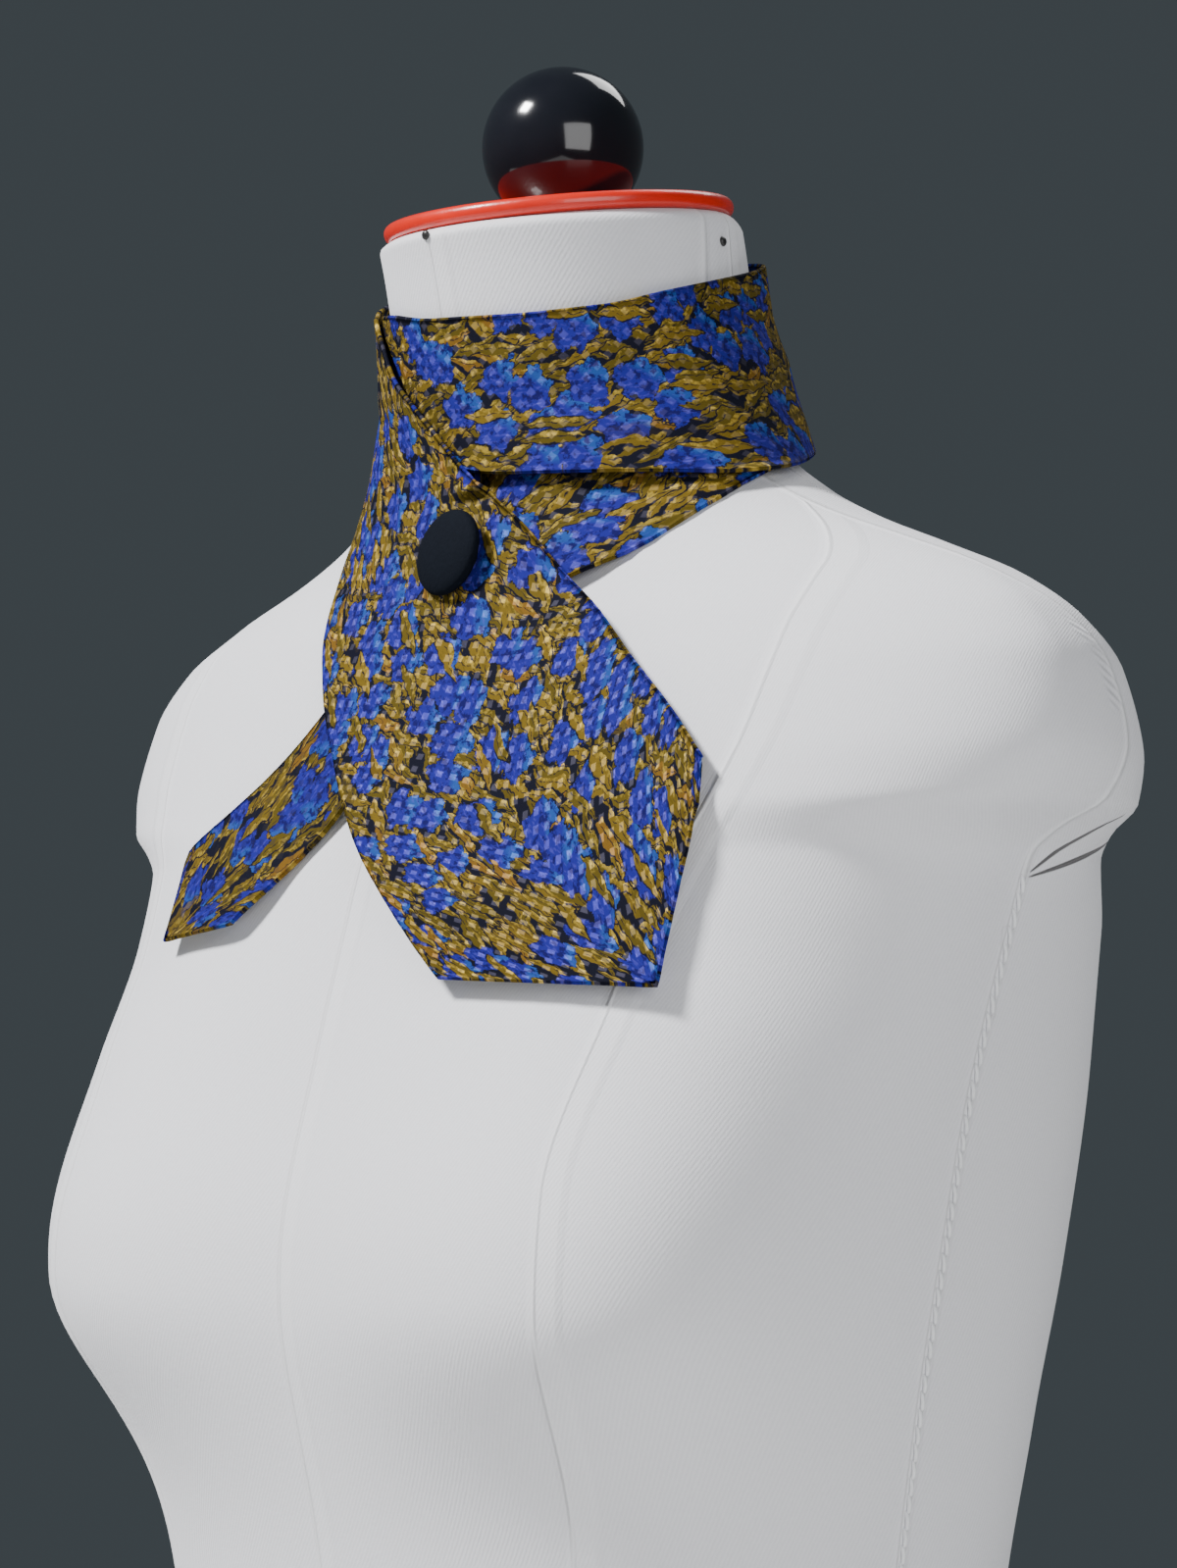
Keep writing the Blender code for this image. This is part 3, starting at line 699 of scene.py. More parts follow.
# The lower wrap: the strip's first time round, from the crossing over the form's left shoulder and
# behind to its right side. Printed silk folded flat over interlining, lying on the neck's base.
CLOTH = 0.0015
CELL = 0.0016
RIM_TURNS = (45, 90, 135)
SMOOTH_PASSES = 30
ROWS_AHEAD = 6
COLUMNS_ASIDE = 3
BandSection = namedtuple("BandSection", "turn lower upper")
LOWER_WRAP = [BandSection(*row) for row in [
    (12, 0.4890, 0.5580),
    (25, 0.5010, 0.5600),
    (45, 0.5160, 0.5650),
    (59, 0.5245, 0.5730),
    (72, 0.5370, 0.5830),
    (86, 0.5480, 0.5930),
    (105, 0.5570, 0.6020),
    (140, 0.5660, 0.6110),
    (180, 0.5730, 0.6180),
    (240, 0.5720, 0.6180),
    (290, 0.5640, 0.6110),
    (336, 0.5560, 0.6040),
]]
# A crease runs from one place to another. It is a soft trough where its rise is below zero.
Crease = namedtuple("Crease", "turn height to_turn to_height width rise")
LOWER_CREASES = [Crease(*row) for row in [
    (20, 0.520, 60, 0.548, 0.0050, -0.0008),
    (28, 0.544, 78, 0.566, 0.0045, 0.0007),
    (40, 0.527, 66, 0.540, 0.0030, 0.0005),
    (95, 0.575, 150, 0.590, 0.0050, -0.0008),
    (150, 0.600, 215, 0.604, 0.0045, 0.0007),
    (190, 0.590, 262, 0.586, 0.0055, -0.0008),
    (255, 0.598, 318, 0.583, 0.0045, 0.0007),
]]
CREASE_END = 0.04
ARM_OF_TURN = 0.068


def crease_relief(creases, turn, height):
    """How far the creases lift or sink the cloth at one place."""
    relief = 0
    for crease in creases:
        run_turn = radians(crease.to_turn - crease.turn) * ARM_OF_TURN
        run_height = crease.to_height - crease.height
        from_turn = radians(turn - crease.turn) * ARM_OF_TURN
        from_height = height - crease.height
        length = hypot(run_turn, run_height)
        along = (from_turn * run_turn + from_height * run_height) / length ** 2
        away = abs(from_turn * run_height - from_height * run_turn) / length
        past = max(-along, along - 1, 0) * length
        taper = sin(pi * min(max(along, CREASE_END), 1 - CREASE_END)) ** 0.5
        relief += crease.rise * taper * exp(-((away ** 2 + past ** 2) / crease.width ** 2))
    return relief


def band_grid(rows):
    """Turns and heights of a fine grid along a wrap, from its lower edge to its upper one."""
    start, end = rows[0].turn, rows[-1].turn
    columns = round((rows[0].upper - rows[0].lower) / CELL)
    step = degrees(CELL / ARM_OF_TURN)
    grid = []
    for turn in spread(start, end, round((end - start) / step)):
        section = read_rows(rows, turn)
        grid.append([(turn, height) for height in spread(section.lower, section.upper, columns)])
    return grid


def surface_radii(grid, solid):
    """The radius of a solid's outer face under each spot of a grid, carried on past its rim."""
    rows, columns = len(grid), len(grid[0])
    radii = [[0.0] * columns for _ in range(rows)]
    for i in range(1, rows - 1):
        for j in range(1, columns - 1):
            turn, height = grid[i][j]
            place = first_hit(solid, turn, height)[0]
            radii[i][j] = place.dot(outward(turn)) if place else radii[i][j - 1] or radii[i - 1][j]
        radii[i][0] = 2 * radii[i][1] - radii[i][2]
        radii[i][-1] = 2 * radii[i][-2] - radii[i][-3]
    radii[0] = [2 * near - far for near, far in zip(radii[1], radii[2])]
    radii[-1] = [2 * near - far for near, far in zip(radii[-2], radii[-3])]
    for _ in range(SMOOTH_PASSES):
        before = [row[:] for row in radii]
        for i in range(1, rows - 1):
            for j in range(1, columns - 1):
                beside = before[i - 1][j] + before[i + 1][j] + before[i][j - 1] + before[i][j + 1]
                radii[i][j] = (before[i][j] + beside / 4) / 2
    return radii


def laid_points(grid, node, creases, flare=None):
    """The outer face of a stretch of cloth: its solid's, with its creases and any flared edge."""
    radii = surface_radii(grid, ray_tree(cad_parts[node].data))
    points = []
    for i, line in enumerate(grid):
        row = []
        for j, (turn, height) in enumerate(line):
            radius = radii[i][j] + crease_relief(creases, turn, height)
            if flare:
                radius += flare(turn, height, j / (len(line) - 1))
            row.append(outward(turn) * radius + Vector((0, 0, height)))
        points.append(row)
    return points


def cloth_shell(name, points, cuts):
    """A thin closed shell under a grid of points, its rim rounded except at the rows in cuts."""
    rows, columns = len(points), len(points[0])
    normals = []
    for i in range(rows):
        line = []
        for j in range(columns):
            along = points[min(i + 1, rows - 1)][j] - points[max(i - 1, 0)][j]
            across = points[i][min(j + 1, columns - 1)] - points[i][max(j - 1, 0)]
            line.append(along.cross(across).normalized())
        normals.append(line)
    count = rows * columns
    vertices = [point for row in points for point in row]
    vertices += [points[i][j] - normals[i][j] * CLOTH for i in range(rows) for j in range(columns)]
    faces = []
    for i in range(rows - 1):
        for j in range(columns - 1):
            a, b = i * columns + j, (i + 1) * columns + j
            faces.append([a, b, b + 1, a + 1])
            faces.append([count + a, count + a + 1, count + b + 1, count + b])

    rim = [(0, j) for j in range(columns)]
    rim += [(i, columns - 1) for i in range(1, rows)]
    rim += [(rows - 1, j) for j in reversed(range(columns - 1))]
    rim += [(i, 0) for i in reversed(range(1, rows - 1))]
    rings = []
    for k, (i, j) in enumerate(rim):
        before, after = rim[k - 1], rim[(k + 1) % len(rim)]
        tangent = points[after[0]][after[1]] - points[before[0]][before[1]]
        normal = normals[i][j]
        beside = tangent.cross(normal).normalized()
        inner = (min(max(i, 1), rows - 2), min(max(j, 1), columns - 2))
        if beside.dot(points[i][j] - points[inner[0]][inner[1]]) < 0:
            beside = -beside
        if i in cuts:
            beside = Vector()
        middle = points[i][j] - normal * CLOTH / 2
        ring = [i * columns + j]
        for angle in RIM_TURNS:
            ring.append(len(vertices))
            away = normal * cos(radians(angle)) + beside * sin(radians(angle))
            vertices.append(middle + away * CLOTH / 2)
        ring.append(count + i * columns + j)
        rings.append(ring)
    for here, beside in zip(rings, rings[1:] + rings[:1]):
        for k in range(len(here) - 1):
            faces.append([here[k], here[k + 1], beside[k + 1], beside[k]])
    piece = mesh_piece(name, vertices, faces)
    place_print(piece.data, points, rim)
    return piece


def place_print(mesh, points, rim):
    """Lay the strip's own coordinates, in centimetres along and across it, on a shell's points."""
    rows, columns = len(points), len(points[0])
    middle = columns // 2
    places = [[None] * columns for _ in range(rows)]
    along = 0.0
    for i in range(rows):
        if i:
            along += (points[i][middle] - points[i - 1][middle]).length * 100
        places[i][middle] = (along, 0.0)
        ahead = points[min(i + ROWS_AHEAD, rows - 1)][middle] - points[max(i - ROWS_AHEAD, 0)][middle]
        beside = points[i][middle + COLUMNS_ASIDE] - points[i][middle - COLUMNS_ASIDE]
        slant = ahead.normalized().dot(beside.normalized())
        square = sqrt(1 - slant * slant)
        for side in (1, -1):
            reach = 0.0
            j = middle
            while 0 <= j + side < columns:
                reach += side * (points[i][j + side] - points[i][j]).length * 100
                j += side
                places[i][j] = (along + reach * slant, reach * square)
    flat = [place for row in places for place in row] * 2
    for i, j in rim:
        flat += [places[i][j]] * len(RIM_TURNS)
    layer = mesh.attributes.new("strip", "FLOAT_VECTOR", "POINT")
    for number, (here, there) in enumerate(flat):
        layer.data[number].vector = (here, there, 0)


def shift_print(piece, by, dots):
    """Move a stretch's print on along the strip; dots gives the woven dots' painted sheen there, from the
    stretch's start to its end.
    """
    layer = piece.data.attributes["strip"]
    spots = [spot.vector.copy() for spot in layer.data]
    length = max(spot[0] for spot in spots)
    for number, spot in enumerate(spots):
        # The painted sheen of the woven dots here, from the tone at the stretch's start to the one at its
        # end.
        light = dots.start + (dots.end - dots.start) * spot[0] / length
        layer.data[number].vector = (spot[0] + by, spot[1], light)
    return length


# The print, in centimetres on the strip: leaves, then blossoms and a few more leaves, on dark ink.
# Square dots of floating threads are woven over it. How light or dark the dots look along each stretch is
# painted sheen and shade, set by the tones below.
DotTone = namedtuple("DotTone", "start end")
LOWER_DOT_SHEEN = DotTone(0.75, 0.4)
Petals = namedtuple("Petals", "radius wave count")
Leaves = namedtuple("Leaves", "tilt length width share shift")
BLOSSOM_PITCH = 1.58
BLOSSOM = Petals(0.71, 0.09, 5)
LEAVES_UNDER = [
    Leaves(18, 2.3, 0.43, 1.00, 0.0),
    Leaves(-24, 2.0, 0.42, 0.80, 7.3),
]
LEAVES_OVER = Leaves(4, 2.2, 0.47, 0.24, 3.1)
LEAF_FULLNESS = 0.50
LEAF_RAGGED = 0.09
LEAF_RIM = Edge(0.030, 0.010)
LEAF_OUTLINE = Edge(-0.020, 0.010)
LEAF_VEIN = Edge(0.016, 0.010)
VEIN_STROKE = Edge(0.46, 0.05)
OCHRE_CHANCE = Edge(0.55, 0.15)
BROWN_CHANCE = Edge(0.93, 0.02)
LIT_SIDE = Edge(0.02, 0.05)
LIT_PATCH = Edge(0.53, 0.06)
LIGHT_STROKE = Edge(0.60, 0.05)
BLOSSOM_SHARE = 0.88
BLOSSOM_RAGGED = 0.55
BLOSSOM_RIM = Edge(0.025, 0.012)
BLOSSOM_OUTLINE = Edge(-0.015, 0.012)
AZURE_SIDE = Edge(0.26, 0.12)
AZURE_PATCH = Edge(0.44, 0.08)
DEEP_PATCH = Edge(0.46, 0.03)
KEPT_CELL = Edge(0, 0.002)
CELL_RANDOMNESS = 0.82
DOT_PITCH = 0.50
DOT = Edge(0.23, 0.03)
DOT_RAGGED = 0.12
INK = (0.0060, 0.0065, 0.014, 1)
BLOSSOM_BLUE = (0.015, 0.015, 0.195, 1)
BLOSSOM_DEEP = (0.006, 0.004, 0.052, 1)
BLOSSOM_AZURE = (0.016, 0.085, 0.280, 1)
BLOSSOM_LAVENDER = (0.070, 0.062, 0.400, 1)
LEAF_OLIVE = (0.080, 0.057, 0.007, 1)
LEAF_OCHRE = (0.135, 0.088, 0.010, 1)
LEAF_YELLOW = (0.360, 0.250, 0.040, 1)
LEAF_BROWN = (0.150, 0.078, 0.011, 1)
# The woven dots' painted sheen and shade: the print multiplied lighter with a painted gleam added, or
# multiplied darker.
DOT_SHEEN_GAIN = (2.6, 2.6, 2.2, 1)
DOT_SHEEN_GLEAM = (0.034, 0.030, 0.042, 1)
DOT_SHADE_GAIN = (0.25, 0.25, 0.32, 1)
SILK_RELIEF = 0.00010

silk, silk_shader = new_material("printed_silk", 0.75)
strip_axes = axes_of(read_attribute(silk_shader, "strip"))
flat = add_node(silk.node_tree, "ShaderNodeCombineXYZ", strip_axes[0], strip_axes[1], 0.0).outputs[0]
wobble = vector_sums("SUBTRACT", noise(flat, 1.3, 3.0)[1], (0.5, 0.5, 0.5))
bent = vector_sums("ADD", flat, vector_sums("MULTIPLY", wobble, (0.9, 0.7, 0.0)))
ragged = minus(noise(flat, 4.5, 3.0, 0.6)[0], 0.5)
mottle = noise(flat, 3.2, 4.0, 0.65)[0]
strokes = noise(vector_sums("MULTIPLY", flat, (3.2, 9.0, 1.0)), 1.0)[0]


def scattered_cells(place):
    """A place's offset from its nearest cell's middle, in cells, and that cell's random colour."""
    cells = add_node(place.id_data, "ShaderNodeTexVoronoi", voronoi_dimensions="2D", feature="F1")
    for name, value in [("Vector", place), ("Scale", 1), ("Randomness", CELL_RANDOMNESS)]:
        plug(value, cells.inputs[name])
    offset = vector_sums("SUBTRACT", place, cells.outputs["Position"])
    chance = add_node(place.id_data, "ShaderNodeSeparateColor", cells.outputs["Color"]).outputs
    return axes_of(offset), chance


def leaf_layer(leaves):
    """The share of leaf, of its dark outline, and the leaf's own colour, for one set of leaves."""
    turned = add_node(silk.node_tree, "ShaderNodeVectorRotate", bent, rotation_type="Z_AXIS")
    turned.inputs["Angle"].default_value = radians(leaves.tilt)
    moved = vector_sums("ADD", turned.outputs[0], (leaves.shift, leaves.shift, 0.0))
    size = (1 / leaves.length, 1 / leaves.width, 1.0)
    offset, chance = scattered_cells(vector_sums("MULTIPLY", moved, size))
    x = times(offset[0], 2.0)
    y = times(offset[1], leaves.width)
    half = times(minus(1.0, times(x, x)), leaves.width * LEAF_FULLNESS)
    inside = minus(plus(half, times(ragged, LEAF_RAGGED)), size_of(y))
    kept = above(minus(leaves.share, chance[0]), KEPT_CELL)
    leaf = times(above(inside, LEAF_RIM), kept)
    outline = times(above(inside, LEAF_OUTLINE), kept)
    colour = mixed(above(chance[1], OCHRE_CHANCE), LEAF_OLIVE, LEAF_OCHRE)
    colour = mixed(above(chance[2], BROWN_CHANCE), colour, LEAF_BROWN)
    lit = times(above(y, LIT_SIDE), above(mottle, LIT_PATCH))
    colour = mixed(times(lit, 0.75), colour, LEAF_YELLOW)
    colour = mixed(times(above(strokes, LIGHT_STROKE), 0.55), colour, LEAF_OLIVE)
    vein = times(within(y, LEAF_VEIN), above(strokes, VEIN_STROKE))
    return leaf, outline, mixed(vein, colour, INK)


def blossom_layer():
    """The share of blossom, of its dark outline, and the blossom's own colour."""
    size = (1 / BLOSSOM_PITCH, 1 / BLOSSOM_PITCH, 1.0)
    offset, chance = scattered_cells(vector_sums("MULTIPLY", bent, size))
    x = times(offset[0], BLOSSOM_PITCH)
    y = times(offset[1], BLOSSOM_PITCH)
    away = sums("SQRT", plus(times(x, x), times(y, y)))
    phase = plus(times(sums("ARCTAN2", y, x), BLOSSOM.count), times(chance[1], 2 * pi))
    radius = plus(BLOSSOM.radius, times(sums("SINE", phase), BLOSSOM.wave))
    inside = minus(plus(radius, times(ragged, BLOSSOM_RAGGED)), away)
    kept = above(minus(chance[0], 1 - BLOSSOM_SHARE), KEPT_CELL)
    blossom = times(above(inside, BLOSSOM_RIM), kept)
    outline = times(above(inside, BLOSSOM_OUTLINE), kept)
    side = weighed((x, 0.55), (y, 0.83))
    azure = times(above(side, AZURE_SIDE), above(mottle, AZURE_PATCH))
    colour = mixed(times(azure, 0.65), BLOSSOM_BLUE, BLOSSOM_AZURE)
    colour = mixed(times(above(strokes, LIGHT_STROKE), 0.45), colour, BLOSSOM_LAVENDER)
    deep = minus(1.0, above(mottle, DEEP_PATCH))
    return blossom, outline, mixed(times(deep, 0.8), colour, BLOSSOM_DEEP)


colour = INK
for layer in [leaf_layer(leaves) for leaves in LEAVES_UNDER] + [blossom_layer(), leaf_layer(LEAVES_OVER)]:
    shape, outline, own_colour = layer
    colour = mixed(shape, mixed(outline, colour, INK), own_colour)

diagonals = []
for sign in (1, -1):
    cell = sums("FRACT", times(plus(strip_axes[0], times(strip_axes[1], sign)), sqrt(0.5) / DOT_PITCH))
    diagonals.append(size_of(minus(cell, 0.5)))
woven = plus(larger(*diagonals), times(ragged, DOT_RAGGED))
dots = minus(1.0, above(woven, DOT))
floats = times(dots, plus(0.55, times(strokes, 0.8)))
# Painted sheen and shade on the woven dots: lighter with a gleam, or darker, blended by the painted sheen
# tone in the strip's third value.
dot_sheen_colour = mixed(1.0, mixed(1.0, colour, DOT_SHEEN_GAIN, "MULTIPLY"), DOT_SHEEN_GLEAM, "ADD")
dot_shade_colour = mixed(1.0, colour, DOT_SHADE_GAIN, "MULTIPLY")
colour = mixed(times(floats, 0.95), colour, mixed(strip_axes[2], dot_shade_colour, dot_sheen_colour))
plug(colour, silk_shader.inputs["Base Color"])
dulled = add_node(silk.node_tree, "ShaderNodeMapRange", floats, 0.0, 1.0, 0.80, 0.60).outputs[0]
plug(dulled, silk_shader.inputs["Roughness"])
crepe = noise(vector_sums("MULTIPLY", flat, (9.0, 26.0, 1.0)), 1.0)[0]
bumped(silk_shader, weighed((crepe, 1.0), (dots, 0.6)), SILK_RELIEF, 0.5)
silk_shader.inputs["Specular IOR Level"].default_value = 0.05

lower_points = laid_points(band_grid(LOWER_WRAP), "cravat_lower_wrap", LOWER_CREASES)
lower_wrap = cloth_shell("lower_wrap", lower_points, cuts=(0, len(lower_points) - 1))
lower_length = shift_print(lower_wrap, 0, LOWER_DOT_SHEEN)
finish_piece(lower_wrap, "lower_wrap", silk, "printed_silk", "cravat_lower_wrap")

# The tail: the strip's narrow end. It runs on from the lower wrap under the crossing and down the
# form's right chest to a small point, lying almost flat on the twill with its point lifted.
BladeSection = namedtuple("BladeSection", "upper_turn upper_height lower_turn lower_height")
Place = namedtuple("Place", "turn height")
TAIL = [BladeSection(*row) for row in [
    (12, 0.5580, 12, 0.4890),
    (0, 0.5310, 4, 0.4730),
    (-12, 0.5020, -4, 0.4560),
    (-25, 0.4785, -12, 0.4400),
    (-33, 0.4615, -17.5, 0.4295),
    (-39, 0.4475, -21.5, 0.4205),
    (-45, 0.4360, -25.5, 0.4120),
]]
TAIL_TIP = Place(-41, 0.4080)
TAIL_CREASES = [
    Crease(-8, 0.484, -36, 0.430, 0.0070, 0.0007),
    Crease(-18, 0.474, -40, 0.438, 0.0035, -0.0005),
]
TAIL_ROWS = 84
TAIL_COLUMNS = 30
TAIL_TIP_SHARE = 3 / 11
TAIL_PRINT_FROM_CM = 90
# The tail's woven dots are painted dark all along, as satin turned away from the light.
TAIL_DOT_SHEEN = DotTone(0.15, 0.15)
NumberedSection = namedtuple("NumberedSection", ("number",) + BladeSection._fields)


def pointed_grid(rows, tip, tip_share, row_count, columns):
    """Turns and heights of a fine grid along a stretch that ends in a point."""
    numbered = [NumberedSection(number, *row) for number, row in enumerate(rows)]
    last = rows[-1]
    middle_turn = (last.upper_turn + last.lower_turn) / 2
    middle_height = (last.upper_height + last.lower_height) / 2
    grid = []
    for share, number in zip(spread(0, 1, row_count), spread(0, len(rows) - 1, row_count)):
        section = read_rows(numbered, number)
        drawn = max(share - (1 - tip_share), 0) / tip_share
        line = []
        for across in spread(0, 1, columns):
            reach = (1 - abs(2 * across - 1)) * drawn
            turn = section.lower_turn + (section.upper_turn - section.lower_turn) * across
            height = section.lower_height + (section.upper_height - section.lower_height) * across
            turn += (tip.turn - middle_turn) * reach
            height += (tip.height - middle_height) * reach
            line.append((turn, height))
        grid.append(line)
    return grid


tail_grid = pointed_grid(TAIL, TAIL_TIP, TAIL_TIP_SHARE, TAIL_ROWS, TAIL_COLUMNS)
tail_points = laid_points(tail_grid, "cravat_tail", TAIL_CREASES)
tail_points = [row[::-1] for row in tail_points]
tail = cloth_shell("tail", tail_points, cuts=(0,))
shift_print(tail, TAIL_PRINT_FROM_CM, TAIL_DOT_SHEEN)
finish_piece(tail, "tail", silk, "printed_silk", "cravat_tail")

# The upper wrap: the strip's second time round, from the form's right over the front of the neck
# and behind. It lies half on the lower wrap, and its top edge curls outward behind the left side.
UPPER_WRAP = [BandSection(*row) for row in [
    (336, 0.5560, 0.6040),
    (360, 0.5540, 0.5995),
    (385, 0.5500, 0.5985),
    (413, 0.5488, 0.6010),
    (435, 0.5486, 0.6070),
    (449, 0.5510, 0.6110),
    (472, 0.5580, 0.6175),
    (490, 0.5640, 0.6230),
    (510, 0.5690, 0.6270),
    (548, 0.5760, 0.6310),
    (588, 0.5770, 0.6310),
]]
UPPER_CREASES = [Crease(*row) for row in [
    (372, 0.568, 440, 0.580, 0.0050, -0.0007),
    (378, 0.584, 425, 0.590, 0.0040, 0.0006),
    (400, 0.560, 452, 0.566, 0.0045, 0.0007),
    (430, 0.592, 482, 0.603, 0.0045, -0.0007),
    (370, 0.558, 382, 0.592, 0.0040, -0.0006),
    (480, 0.590, 530, 0.600, 0.0050, 0.0008),
    (520, 0.606, 580, 0.600, 0.0045, -0.0007),
]]
CURL_MIDDLE = 486
CURL_REACH = 20
CURL_RISE = 0.0030
CURL_FROM = 0.72
# The upper wrap's woven dots are painted light at its start and dark towards its end, as painted sheen.
UPPER_DOT_SHEEN = DotTone(0.75, 0.1)


def top_curl(turn, height, across):
    """How far the upper wrap's top edge curls outward behind the left side."""
    near = exp(-(((turn - CURL_MIDDLE) / CURL_REACH) ** 2))
    return CURL_RISE * near * max(across - CURL_FROM, 0) / (1 - CURL_FROM)


upper_points = laid_points(band_grid(UPPER_WRAP), "cravat_upper_wrap", UPPER_CREASES, top_curl)
upper_wrap = cloth_shell("upper_wrap", upper_points, cuts=(0, len(upper_points) - 1))
upper_length = shift_print(upper_wrap, lower_length, UPPER_DOT_SHEEN)
finish_piece(upper_wrap, "upper_wrap", silk, "printed_silk", "cravat_upper_wrap")

# The blade: the strip's wide end. It comes round the form's right side, folds down over the
# crossing and hangs on the chest to a wide point. The button pulls small creases into it.
BLADE = [BladeSection(*row) for row in [
    (588, 0.6310, 588, 0.5770),
    (620, 0.6262, 612, 0.5700),
    (645, 0.6200, 632, 0.5620),
    (668, 0.6110, 648, 0.5530),
    (686, 0.5990, 659, 0.5410),
    (698, 0.5840, 666, 0.5300),
    (710, 0.5735, 672, 0.5190),
    (721, 0.5635, 677, 0.5110),
    (732, 0.5525, 682, 0.5030),
    (746, 0.5397, 690, 0.4920),
    (753, 0.5328, 698, 0.4800),
    (763.5, 0.5160, 708, 0.4640),
    (769.5, 0.5040, 716, 0.4515),
    (774, 0.4885, 725, 0.4360),
    (778, 0.4725, 735, 0.4190),
    (781, 0.4545, 747, 0.3940),
]]
BLADE_TIP = Place(774.5, 0.3915)
BLADE_CREASES = [Crease(*row) for row in [
    (745, 0.5430, 731, 0.5400, 0.0020, -0.0022),
    (742, 0.5465, 732, 0.5445, 0.0020, 0.0012),
    (738, 0.5060, 744, 0.4700, 0.0035, -0.0009),
    (728, 0.5080, 722, 0.4720, 0.0040, -0.0009),
    (733, 0.5060, 732, 0.4550, 0.0040, 0.0009),
    (706, 0.5600, 722, 0.5340, 0.0045, -0.0008),
    (694, 0.5700, 708, 0.5350, 0.0050, 0.0008),
    (752, 0.4900, 764, 0.4350, 0.0060, 0.0008),
    (640, 0.5900, 684, 0.5700, 0.0050, -0.0008),
    (600, 0.6050, 650, 0.5850, 0.0050, 0.0008),
]]
BLADE_ROWS = 260
BLADE_COLUMNS = 56
BLADE_TIP_SHARE = 1 / 4
# The blade's woven dots are painted lighter towards its point, as painted sheen.
BLADE_DOT_SHEEN = DotTone(0.6, 1.0)

blade_grid = pointed_grid(BLADE, BLADE_TIP, BLADE_TIP_SHARE, BLADE_ROWS, BLADE_COLUMNS)
blade_points = laid_points(blade_grid, "cravat_front_blade", BLADE_CREASES)
blade = cloth_shell("blade", blade_points, cuts=(0,))
shift_print(blade, lower_length + upper_length, BLADE_DOT_SHEEN)
finish_piece(blade, "blade", silk, "printed_silk", "cravat_front_blade")

# The button: a round domed button covered in near-black navy cloth with a fine crepe grain. It is
# sewn through the crossing and holds the blade on the lower wrap.
GRAIN_RELIEF = 0.00025
COVERING_BLACK = (0.0008, 0.0016, 0.0040, 1)
COVERING_NAVY = (0.0026, 0.0044, 0.0088, 1)
COVERING_LIT = (0.0048, 0.0070, 0.0120, 1)

bpy.ops.object.select_all(action="DESELECT")
button_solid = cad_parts["cravat_button"]
button = bpy.data.objects.new("button", button_solid.data.copy())
bpy.context.scene.collection.objects.link(button)
button.data.transform(button_solid.matrix_world)
bpy.context.view_layer.objects.active = button
button.select_set(True)
bpy.ops.object.mode_set(mode="EDIT")
bpy.ops.mesh.select_all(action="SELECT")
bpy.ops.mesh.remove_doubles(threshold=0.00001)
bpy.ops.object.mode_set(mode="OBJECT")
smoothing = button.modifiers.new("smoothing", "SUBSURF")
smoothing.levels = 2
smoothing.render_levels = 2
bpy.ops.object.modifier_apply(modifier=smoothing.name)
bpy.ops.object.shade_smooth_by_angle(angle=radians(60))

covering, covering_shader = new_material("button_covering", 0.85)
covering_place = object_place(covering_shader)
grain = noise(covering_place, 900.0, 3.0, 0.6)[0]
covering_colour = mixed(noise(covering_place, 160.0, 3.0)[0], COVERING_BLACK, COVERING_NAVY)
plug(mixed(grain, covering_colour, COVERING_LIT), covering_shader.inputs["Base Color"])
bumped(covering_shader, grain, GRAIN_RELIEF, 0.9)
covering_shader.inputs["Specular IOR Level"].default_value = 0.08
finish_piece(button, "button", covering, "button_cloth", "cravat_button")

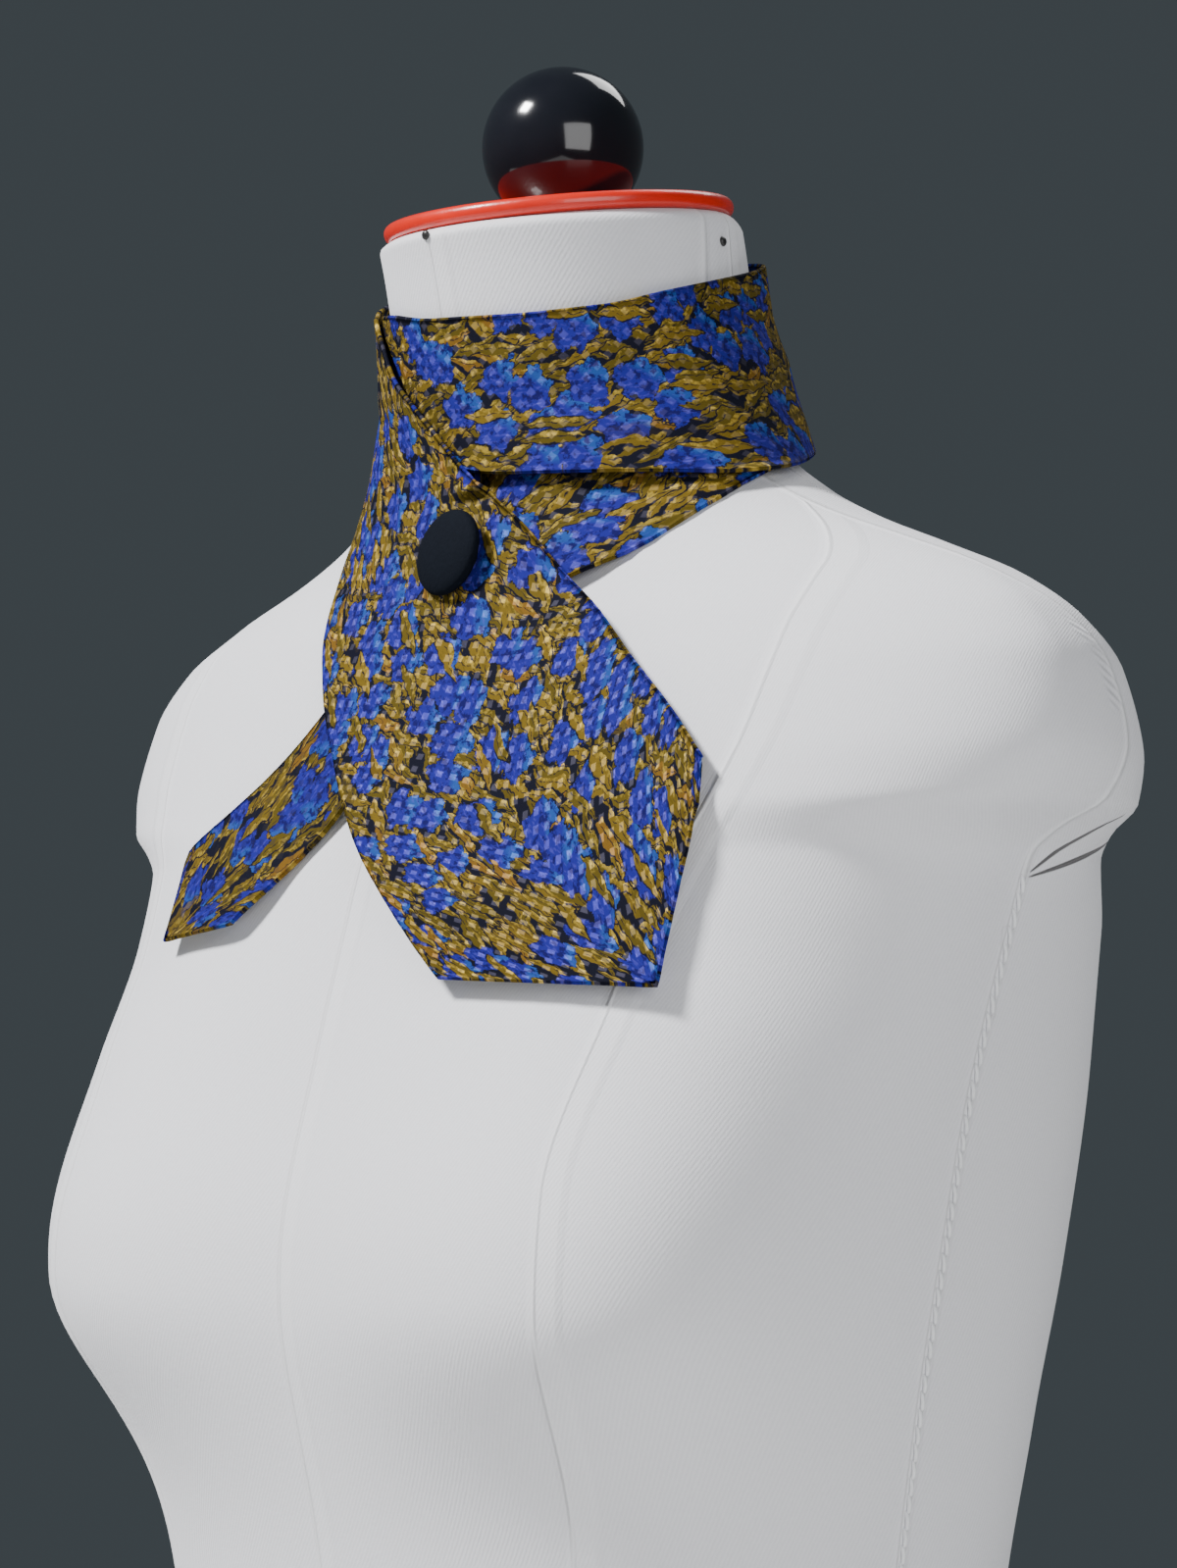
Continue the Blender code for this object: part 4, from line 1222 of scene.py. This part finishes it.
# The floor: a plain pale sheet that the form stands on. It is wide enough to fill the view's lower
# part from every side.
FLOOR_WIDTH = 2.4
FLOOR_GREY = (0.62, 0.62, 0.61, 1)
bpy.ops.object.select_all(action="DESELECT")
bpy.ops.mesh.primitive_plane_add(size=FLOOR_WIDTH, location=(0, 0, 0))
floor = bpy.context.object
floor.name = "floor"
pale, pale_shader = new_material("pale_floor", 0.9)
pale_shader.inputs["Base Color"].default_value = FLOOR_GREY
floor.data.materials.append(pale)

# The light: a large soft main light high on the form's right front, a weaker one from its left, a
# small one behind, and a dim even sky.
Light = namedtuple("Light", "name place aim width strength")
LIGHTS = [
    Light("main", (-0.75, -1.70, 2.50), (0.0, 0.0, 0.42), 0.5, 160),
    Light("fill", (2.20, -0.90, 0.90), (0.0, 0.0, 0.42), 1.6, 31),
    Light("back", (-0.40, 1.80, 2.60), (0.0, 0.0, 0.45), 1.2, 24),
]
SKY = (0.050, 0.061, 0.068, 1)
for spec in LIGHTS:
    lamp = bpy.data.lights.new(spec.name, "AREA")
    lamp.size = spec.width
    lamp.energy = spec.strength
    light = bpy.data.objects.new(spec.name, lamp)
    bpy.context.scene.collection.objects.link(light)
    light.location = spec.place
    light.rotation_mode = "QUATERNION"
    light.rotation_quaternion = (Vector(spec.place) - Vector(spec.aim)).to_track_quat("Z", "Y")
world = bpy.data.worlds.new("studio")
bpy.context.scene.world = world
world.use_nodes = True
world.node_tree.nodes["Background"].inputs["Color"].default_value = SKY
world.node_tree.nodes["Background"].inputs["Strength"].default_value = 1

# The camera: a little below the neck's height on the form's left front, looking slightly upward.
CAMERA_AZIMUTH = radians(46)
CAMERA_ELEVATION = radians(-3.5)
CAMERA_DISTANCE = 1.39
CAMERA_AIM = Vector((0.003, 0.003, 0.4575))
LENS_MM = 100
LONG_SIDE_MM = 36
camera_data = bpy.data.cameras.new("camera")
camera_data.lens = LENS_MM
camera_data.sensor_width = LONG_SIDE_MM
camera = bpy.data.objects.new("camera", camera_data)
bpy.context.scene.collection.objects.link(camera)
back = Vector((
    sin(CAMERA_AZIMUTH) * cos(CAMERA_ELEVATION),
    -cos(CAMERA_AZIMUTH) * cos(CAMERA_ELEVATION),
    sin(CAMERA_ELEVATION),
))
camera.location = CAMERA_AIM + back * CAMERA_DISTANCE
camera.rotation_mode = "QUATERNION"
camera.rotation_quaternion = back.to_track_quat("Z", "Y")
bpy.context.scene.camera = camera
